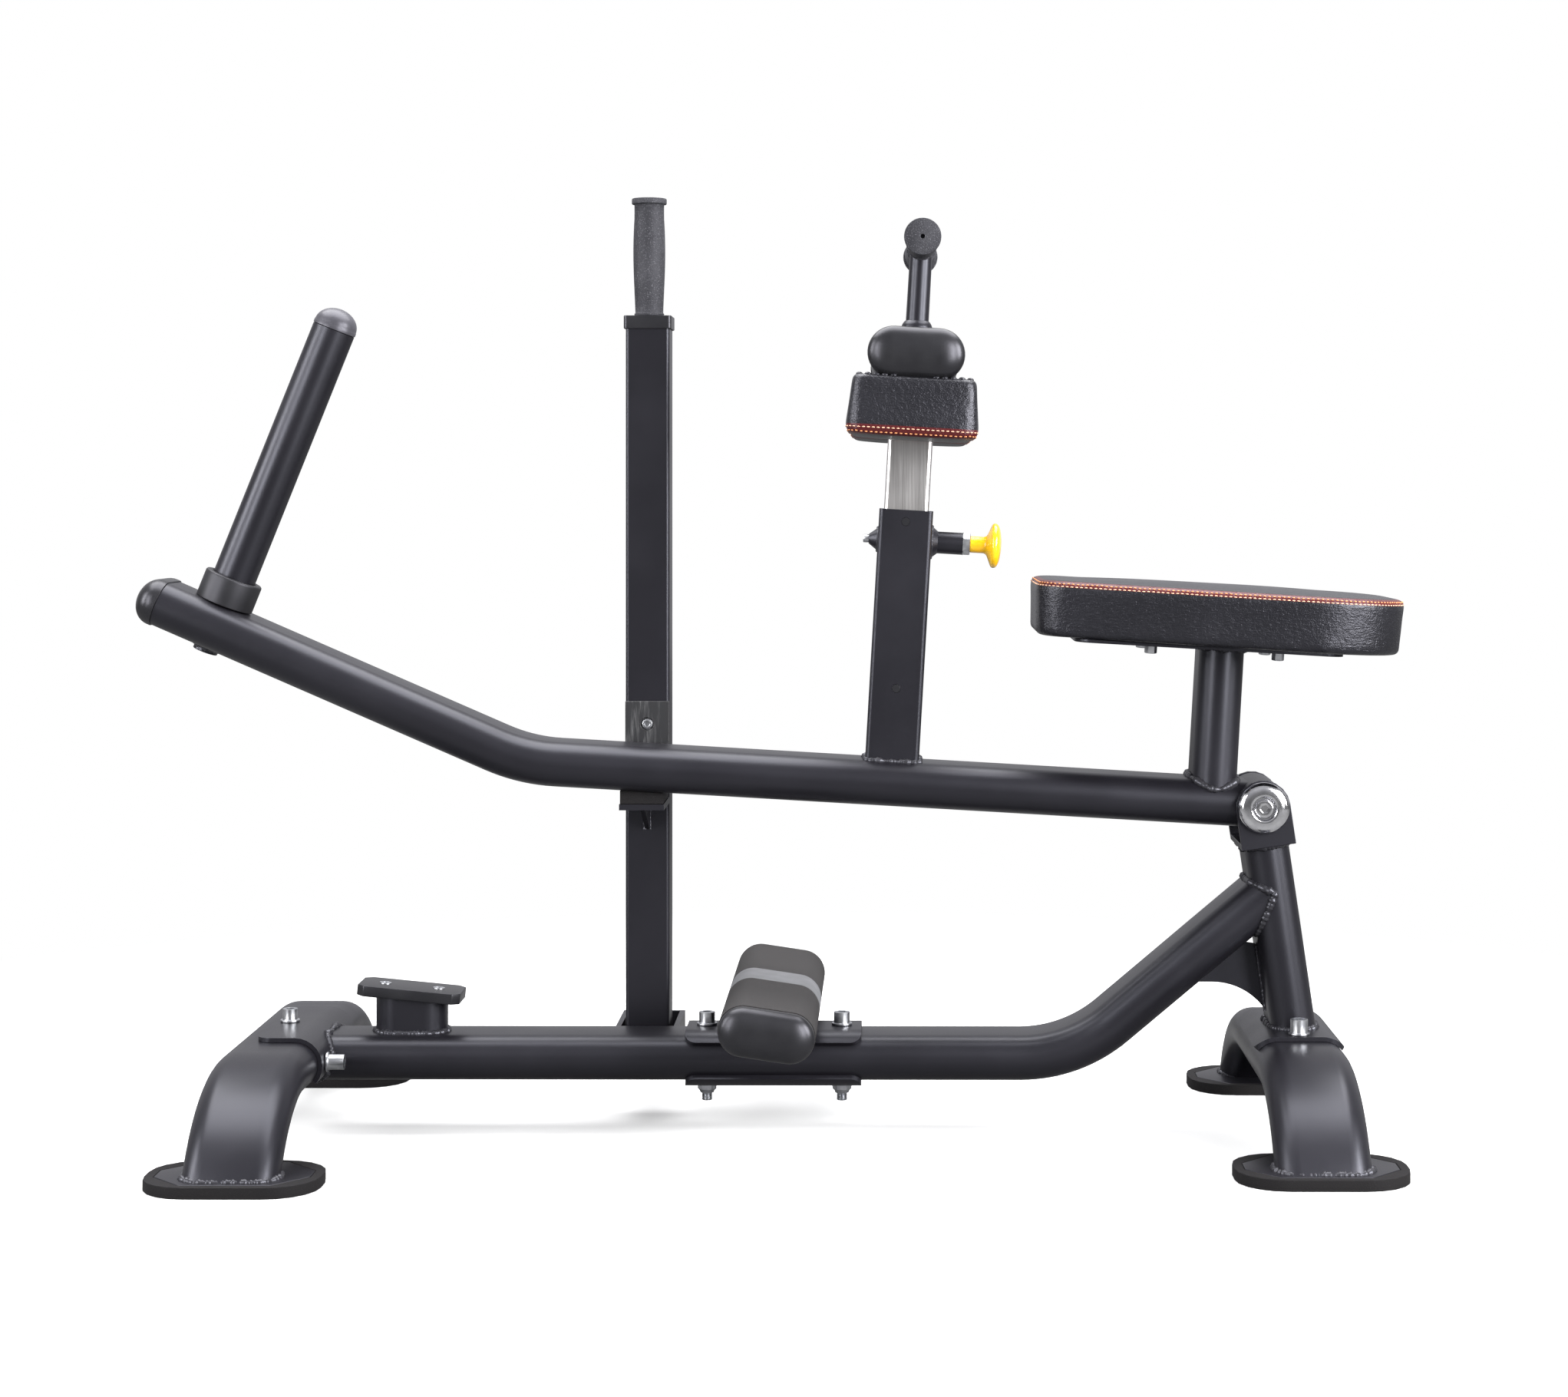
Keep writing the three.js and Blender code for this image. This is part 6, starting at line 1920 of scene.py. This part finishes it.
@dataclass
class CatchPost(SubAssembly):
    """The swinging post that holds the arm up."""

    grip: HandGrip = HandGrip(135.0, 8.3, 16.0)

    def build(self) -> None:
        """Makes the catch post."""
        shop, palette = self.shop, self.shop.palette
        for node, finish, ease in (
            ("catch_post", palette.paint, 0.6),
            ("catch_cushion", palette.sole, 0.8),
            ("wear_plate", palette.wear, 0.7),
            ("catch_post_cap", palette.plastic, 0.9),
        ):
            shop.refine(node, finish, Body.CATCH, ease)
        x, y = CATCH.translation.xy
        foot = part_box("catch_grip")[0][2] / MM
        grip = self.grip.mesh()
        place = at(x, y, foot)
        shop.piece("catch_grip_sleeve", grip, place, palette.grip, Body.CATCH, "catch_grip")
        low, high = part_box("wear_plate")
        place = at(x, low[1] / MM + 2.5, high[2] / MM - 26.0) @ frame_along("y", -1)
        screw = SocketBolt(5.4, 1.8, 5.9, 0.3, 3.0).mesh()
        shop.piece("wear_plate_screw", screw, place, palette.zinc, Body.CATCH)
        self.beads()

    def beads(self) -> None:
        """The weld beads at the shelf and its fin."""
        low = CATCH @ Vector((0, -25.3, 278.0))
        seams = [([low + Vector((x, 0, 0)) for x in range(-24, 25, 4)], False)]
        for x in (-3.0, 3.0):
            seams.append(([low + Vector((x, 0, -z)) for z in range(0, 31, 3)], False))
        self.shop.weld("shelf_weld_beads", seams, Body.CATCH, 1.9)


@dataclass(frozen=True)
class PadForm:
    """One upholstered pad in its own frame, with its board at z = 0."""

    plan: Outline
    thickness: float
    crown: float  # rise of its top's middle
    draw_in: float  # how far its foot is drawn in
    edge: float  # rounding of its lower edge
    seams: tuple[float, float]  # heights of the band's two seams
    rows: tuple[float, float]  # heights of the stitch rows
    shoulder: float = 3.5  # rounding of its upper edge
    rim: float = 0.0  # how far the cover turns round below the board
    flare: float = 2.0  # how soon the side leaves the drawn-in foot

    def ring(self, inset: float, z: float) -> list[Vector]:
        """The plan at a height, drawn in evenly."""
        made = []
        for i, (x, y) in enumerate(self.plan):
            before = Vector(self.plan[i - 1])
            after = Vector(self.plan[(i + 1) % len(self.plan)])
            side = (after - before).normalized()
            made.append(Vector((x - side.y * inset, y + side.x * inset, z)))
        return made

    def shell(self) -> Mesh:
        """The pad before it is stuffed: lower edge, side with its seams, shoulder and crown."""
        rings = [self.ring(self.draw_in + self.edge + 8.0, -self.rim)]
        for angle in (math.radians(22.5 * k) for k in range(5)):
            inset = self.draw_in + self.edge * (1 - math.sin(angle))
            rings.append(self.ring(inset, self.edge * (1 - math.cos(angle)) - self.rim))
        side_top = self.thickness - self.shoulder
        for share in (k / 8 for k in range(1, 9)):
            height = self.edge - self.rim + share * (side_top - self.edge + self.rim)
            groove = sum(math.exp(-(((height - seam) / 1.6) ** 2)) for seam in self.seams)
            rings.append(self.ring(self.draw_in * (1 - share) ** self.flare + 0.8 * groove, height))
        for angle in (math.radians(18 * k) for k in range(1, 6)):
            inset = self.shoulder * 0.6 * (1 - math.cos(angle))
            rings.append(self.ring(inset, side_top + self.shoulder * math.sin(angle)))
        top = rings[-1]
        for share in (1 - k / 15 for k in range(1, 15)):
            height = self.thickness + self.crown * (1 - share**2.4)
            rings.append([Vector((point.x * share, point.y * share, height)) for point in top])
        return loft(rings)


@dataclass
class Upholsterer(SubAssembly):
    """The seat and the thigh pads, stuffed by cloth simulation and sewn."""

    voxel: float = 4.2
    pinned: float = 5.0  # height below which the cover is held by its board
    seam_half: float = 2.2  # how far from a seam the cover is held by it
    frames: int = 18
    limit: float = 1.6  # how far the cloth may move

    def stuff(self, name: str, form: PadForm, place: Matrix, cover: Finish) -> bpy.types.Object:
        """Fills a pad: cloth under pressure, pinned at its board and its seams.

        Args:
            name: the piece's name.
            form: its sizes.
            place: its place.
            cover: its finish.

        Returns:
            The finished pad.
        """
        made = finished(name, form.shell(), Matrix(), cover.material, 180)
        modify(made, "REMESH", mode="VOXEL", voxel_size=self.voxel * MM, use_smooth_shade=True)
        modify(made, "SMOOTH", factor=0.5, iterations=4)
        self.inflate(made, form)
        modify(made, "SUBSURF", levels=1, render_levels=1)
        made.data.transform(TO_METRES @ place @ TO_METRES.inverted())
        made.data.materials.clear()
        made.data.materials.append(cover.material)
        made.data.shade_smooth()
        return made

    def inflate(self, made: bpy.types.Object, form: PadForm) -> None:
        """Runs the cloth and keeps its result, each point moved by the limit at most."""
        rest = [vert.co.copy() for vert in made.data.vertices]
        pins = made.vertex_groups.new(name="pins")
        for vert in made.data.vertices:
            z = vert.co.z / MM
            weight = 1.0 if z < self.pinned - form.rim else 0.04
            if any(abs(z - seam) < self.seam_half for seam in form.seams):
                weight = max(weight, 0.75)
            pins.add([vert.index], weight, "REPLACE")
        cloth = made.modifiers.new("stuffing", "CLOTH")
        fabric = cloth.settings
        fabric.quality = 5
        fabric.mass = 0.25
        fabric.tension_stiffness = 30
        fabric.compression_stiffness = 30
        fabric.shear_stiffness = 12
        fabric.bending_stiffness = 6.0
        fabric.vertex_group_mass = "pins"
        fabric.use_pressure = True
        fabric.uniform_pressure_force = 4.0
        fabric.shrink_min = 0.008
        fabric.effector_weights.gravity = 0.0
        cloth.collision_settings.use_collision = False
        cloth.point_cache.frame_start = 1
        cloth.point_cache.frame_end = self.frames
        for frame in range(1, self.frames + 1):
            bpy.context.scene.frame_set(frame)
            bpy.context.evaluated_depsgraph_get().update()
        apply_modifiers(made)
        bpy.context.scene.frame_set(1)
        limit = self.limit * MM
        for vert, start in zip(made.data.vertices, rest):
            step = vert.co - start
            if step.length > limit:
                vert.co = start + step * (limit / step.length)
        modify(made, "SMOOTH", factor=0.5, iterations=5)

    def sew(self, name: str, pad: bpy.types.Object, form: PadForm, place: Matrix, body: Body) -> None:
        """Sews the two stitch rows beside the band on the stuffed pad.

        Args:
            name: the pieces' first name.
            pad: the pad.
            form: its sizes.
            place: its place.
            body: its body.
        """
        mesh = bmesh.new()
        mesh.from_mesh(pad.data)
        tree = BVHTree.FromBMesh(mesh)
        mesh.free()
        proud = 0.2  # how far the thread's middle is above the cover
        palette = self.shop.palette
        for label, height, thread, length in (
            ("lower", form.rows[0], palette.pale_thread, 1.75),
            ("upper", form.rows[1], palette.thread, 1.5),
        ):
            row = []
            for x, y in dense(form.plan, 2.0):
                hit, normal, _, _ = tree.find_nearest((place @ Vector((x, y, height))) * MM)
                row.append(hit / MM + normal * proud)
            made = self.shop.stitches.sew(f"{name}_{label}_stitches", (row, True), thread, length)
            self.shop.fit(made, body, thread.slot)

    def folds(self, name: str, form: PadForm, place: Matrix) -> None:
        """The gathered folds of the cover where it turns under the board at the corners.

        Args:
            name: the piece's first name.
            form: the pad's sizes.
            place: the pad's place.
        """
        fold = moved(turned(arc((0, 0), 2.4, -90, 90, 8), 16), Matrix.Diagonal((1.5, 1.3, 0.9, 1)))
        reach_x = max(x for x, _ in form.plan)
        reach_y = max(y for _, y in form.plan)
        inset = form.draw_in + form.edge + 3.5
        corner = [(inset + 9.0 + 9.0 * k, inset) for k in range(4)]
        corner += [(inset, inset + 9.0 + 9.0 * k) for k in range(4)]
        places = [
            place @ at(a * (reach_x - x), b * (reach_y - y), 0.4 - form.rim)
            for x, y in corner
            for a in (-1, 1)
            for b in (-1, 1)
        ]
        cover = self.shop.palette.pad_cover
        self.shop.set_of(f"{name}_folds", fold, places, cover, Body.CARRIAGE)

    def pad(
        self, name: str, form: PadForm, place: Matrix, cover: Finish, body: Body, node: str
    ) -> None:
        """One stuffed and stitched pad.

        Args:
            name: the cushion's name.
            form: its sizes.
            place: its place.
            cover: its finish.
            body: its body.
            node: the solid that it stands for.
        """
        made = self.stuff(name, form, place, cover)
        self.shop.fit(made, body, cover.slot, node)
        self.sew(name.replace("_cushion", ""), made, form, place, body)

    def build(self) -> None:
        """Makes the seat and the two thigh pads."""
        palette = self.shop.palette
        seat = PadForm(
            plan=self.seat_plan(),
            thickness=61.0,
            crown=6.0,
            draw_in=2.5,
            edge=4.0,
            seams=(54.3, 60.0),
            rows=(55.6, 60.7),
        )
        place = ARM @ at(SEAT_X, 0, SEAT_Z)
        self.pad("seat_cushion", seat, place, palette.seat_cover, Body.ARM, "seat_pad")
        thigh = PadForm(
            plan=dense(rounded(rectangle(71.0, 102.5), 18.0, 8), 8.0),
            thickness=58.2,
            crown=2.5,
            draw_in=4.2,
            edge=5.0,
            seams=(49.0, 58.0),
            rows=(51.0, 58.2),
            rim=5.0,
            flare=1.3,
        )
        for side, label in ((-1, "near"), (1, "far")):
            place = KNEE @ at(0, side * 135.5, PAD_Z) @ Matrix.Rotation(math.pi, 4, "X")
            name, node = f"thigh_cushion_{label}", f"thigh_pad_{label}"
            self.pad(name, thigh, place, palette.pad_cover, Body.CARRIAGE, node)
            self.folds(f"thigh_{label}", thigh, place)

    @staticmethod
    def seat_plan() -> Outline:
        """The seat's outline from above, wider at its rear."""
        corners = [(-204.0, -103.0), (204.0, -154.0), (204.0, 154.0), (-204.0, 103.0)]
        return dense(rounded(corners, (38.0, 96.0, 96.0, 38.0), 12), 9.0)


# Studio


@dataclass(frozen=True)
class SoftBox:
    """One rectangular studio light."""

    name: str
    place: tuple[float, float, float]
    aim: tuple[float, float, float]
    width: float
    height: float
    watts: float

    def build(self) -> None:
        """Hangs the light."""
        data = bpy.data.lights.new(self.name, "AREA")
        data.shape = "RECTANGLE"
        data.size = self.width
        data.size_y = self.height
        data.energy = self.watts
        made = shown(self.name, data)
        made.location = self.place
        ahead = Vector(self.aim) - Vector(self.place)
        made.rotation_euler = ahead.to_track_quat("-Z", "Y").to_euler()


@dataclass(frozen=True)
class Studio:
    """The white studio, its lights and the camera of the photograph."""

    camera_place: tuple[float, float, float] = (0.14028, -3.32705, 0.713)
    camera_turn: float = 0.25  # degrees, so that the rear end is a little nearer
    lens: float = 68.19
    shift: tuple[float, float] = (-0.06197, -0.1322)
    ambient: float = 0.035
    mirrored: float = 0.10  # how much of the white backdrop a reflection sees
    lights: tuple[SoftBox, ...] = (
        SoftBox("overhead", (0.0, 0.4, 3.0), (0.0, 0.0, 0.3), 4.2, 2.4, 210.0),
        SoftBox("front_left", (-2.4, -2.5, 1.3), (-0.1, 0.0, 0.6), 0.8, 2.1, 74.0),
        SoftBox("front_right", (2.1, -2.7, 1.3), (0.1, 0.0, 0.6), 0.9, 2.1, 112.0),
        SoftBox("side_left", (-3.1, -0.9, 1.6), (0.0, 0.0, 0.6), 0.8, 1.8, 62.0),
        SoftBox("side_right", (3.0, -1.4, 1.5), (0.0, 0.0, 0.6), 1.1, 1.8, 140.0),
    )

    def build(self) -> None:
        """Makes the camera, the world, the floor and the lights."""
        scene = bpy.context.scene
        data = bpy.data.cameras.new("view")
        data.lens = self.lens
        data.sensor_width = 36.0
        data.sensor_fit = "HORIZONTAL"
        data.shift_x, data.shift_y = self.shift
        data.clip_end = 60.0
        camera = shown("view", data)
        camera.location = self.camera_place
        camera.rotation_euler = (math.radians(90), 0.0, math.radians(self.camera_turn))
        scene.camera = camera
        scene.view_settings.view_transform = "Standard"
        self.world(scene)
        self.floor()
        for light in self.lights:
            light.build()

    def world(self, scene: bpy.types.Scene) -> None:
        """White to the camera, and a studio with darker sides for everything else."""
        world = bpy.data.worlds.new("studio")
        scene.world = world
        world.use_nodes = True
        graph = Graph(world.node_tree)
        coordinates = graph.node("ShaderNodeTexCoord")
        split = graph.node("ShaderNodeSeparateXYZ", coordinates.outputs["Generated"])
        across, up = graph.wire(split, 1), graph.wire(split, 2)
        front = (across * -1.0).ramp(0.45, 1.0) * up.ramp(-0.05, 0.6)
        back = across.ramp(0.25, 0.8)
        strength = front * 0.46 + back * 0.50 + up.ramp(0.1, 0.9) * 0.3 + self.ambient
        soft = graph.node("ShaderNodeBackground", (0.95, 0.95, 1.0), strength)
        bright = graph.node("ShaderNodeBackground", (1.0, 1.0, 1.0))
        seen = graph.node("ShaderNodeMixShader", self.backdrop_share(graph), soft, bright)
        graph.node("ShaderNodeOutputWorld", seen)

    def backdrop_share(self, graph: Graph) -> Wire:
        """How much of the white backdrop a ray sees: all from the camera, some in a mirror."""
        path = graph.node("ShaderNodeLightPath")
        camera = graph.wire(path, "Is Camera Ray")
        indirect = graph.wire(path, "Is Glossy Ray") + graph.wire(path, "Is Transmission Ray")
        return camera + indirect * self.mirrored

    def floor(self) -> None:
        """A floor with soft shadows that turns pure white away from the machine."""
        mesh = bmesh.new()
        bmesh.ops.create_grid(mesh, x_segments=1, y_segments=1, size=9.0)
        floor = linked("floor", mesh)
        material = bpy.data.materials.new("white_floor")
        material.use_nodes = True
        graph = Graph(material.node_tree)
        grey = graph.node("ShaderNodeBsdfDiffuse", (0.10, 0.10, 0.10))
        matte = graph.node("ShaderNodeBsdfDiffuse", (0.80, 0.80, 0.80))
        glow = graph.node("ShaderNodeEmission", Strength=0.24)
        lit = graph.node("ShaderNodeAddShader", matte, glow)
        white = graph.node("ShaderNodeEmission")
        place = graph.node("ShaderNodeNewGeometry").outputs["Position"]
        distance = graph.node("ShaderNodeVectorMath", place, settings={"operation": "LENGTH"})
        away = graph.wire(distance, "Value").ramp(0.75, 1.7)
        fade = graph.node("ShaderNodeMixShader", away, lit, white)
        seen = graph.node("ShaderNodeMixShader", self.backdrop_share(graph), grey, fade)
        graph.node("ShaderNodeOutputMaterial", seen)
        floor.data.materials.append(material)


def main() -> None:
    """Builds the machine's looks in order."""
    logging.basicConfig(level=logging.INFO, format="%(name)s: %(message)s")
    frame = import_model()
    Studio().build()
    palette = Palette()
    shop = Shop(frame["nodes"], palette, WeldBead(palette.weld), Stitching(), Fastener())
    parts = (BaseFrame, Pivot, Footrest, LeverArm, ThighCarriage, PullPin, CatchPost, Upholsterer)
    for part in parts:
        part(shop).build()
        LOG.info("%s is built", part.__name__)
    left = sorted(set(frame["nodes"]) - shop.replaced)
    LOG.info("solids left as they are: %s", left)


if __name__ == "__main__":
    main()
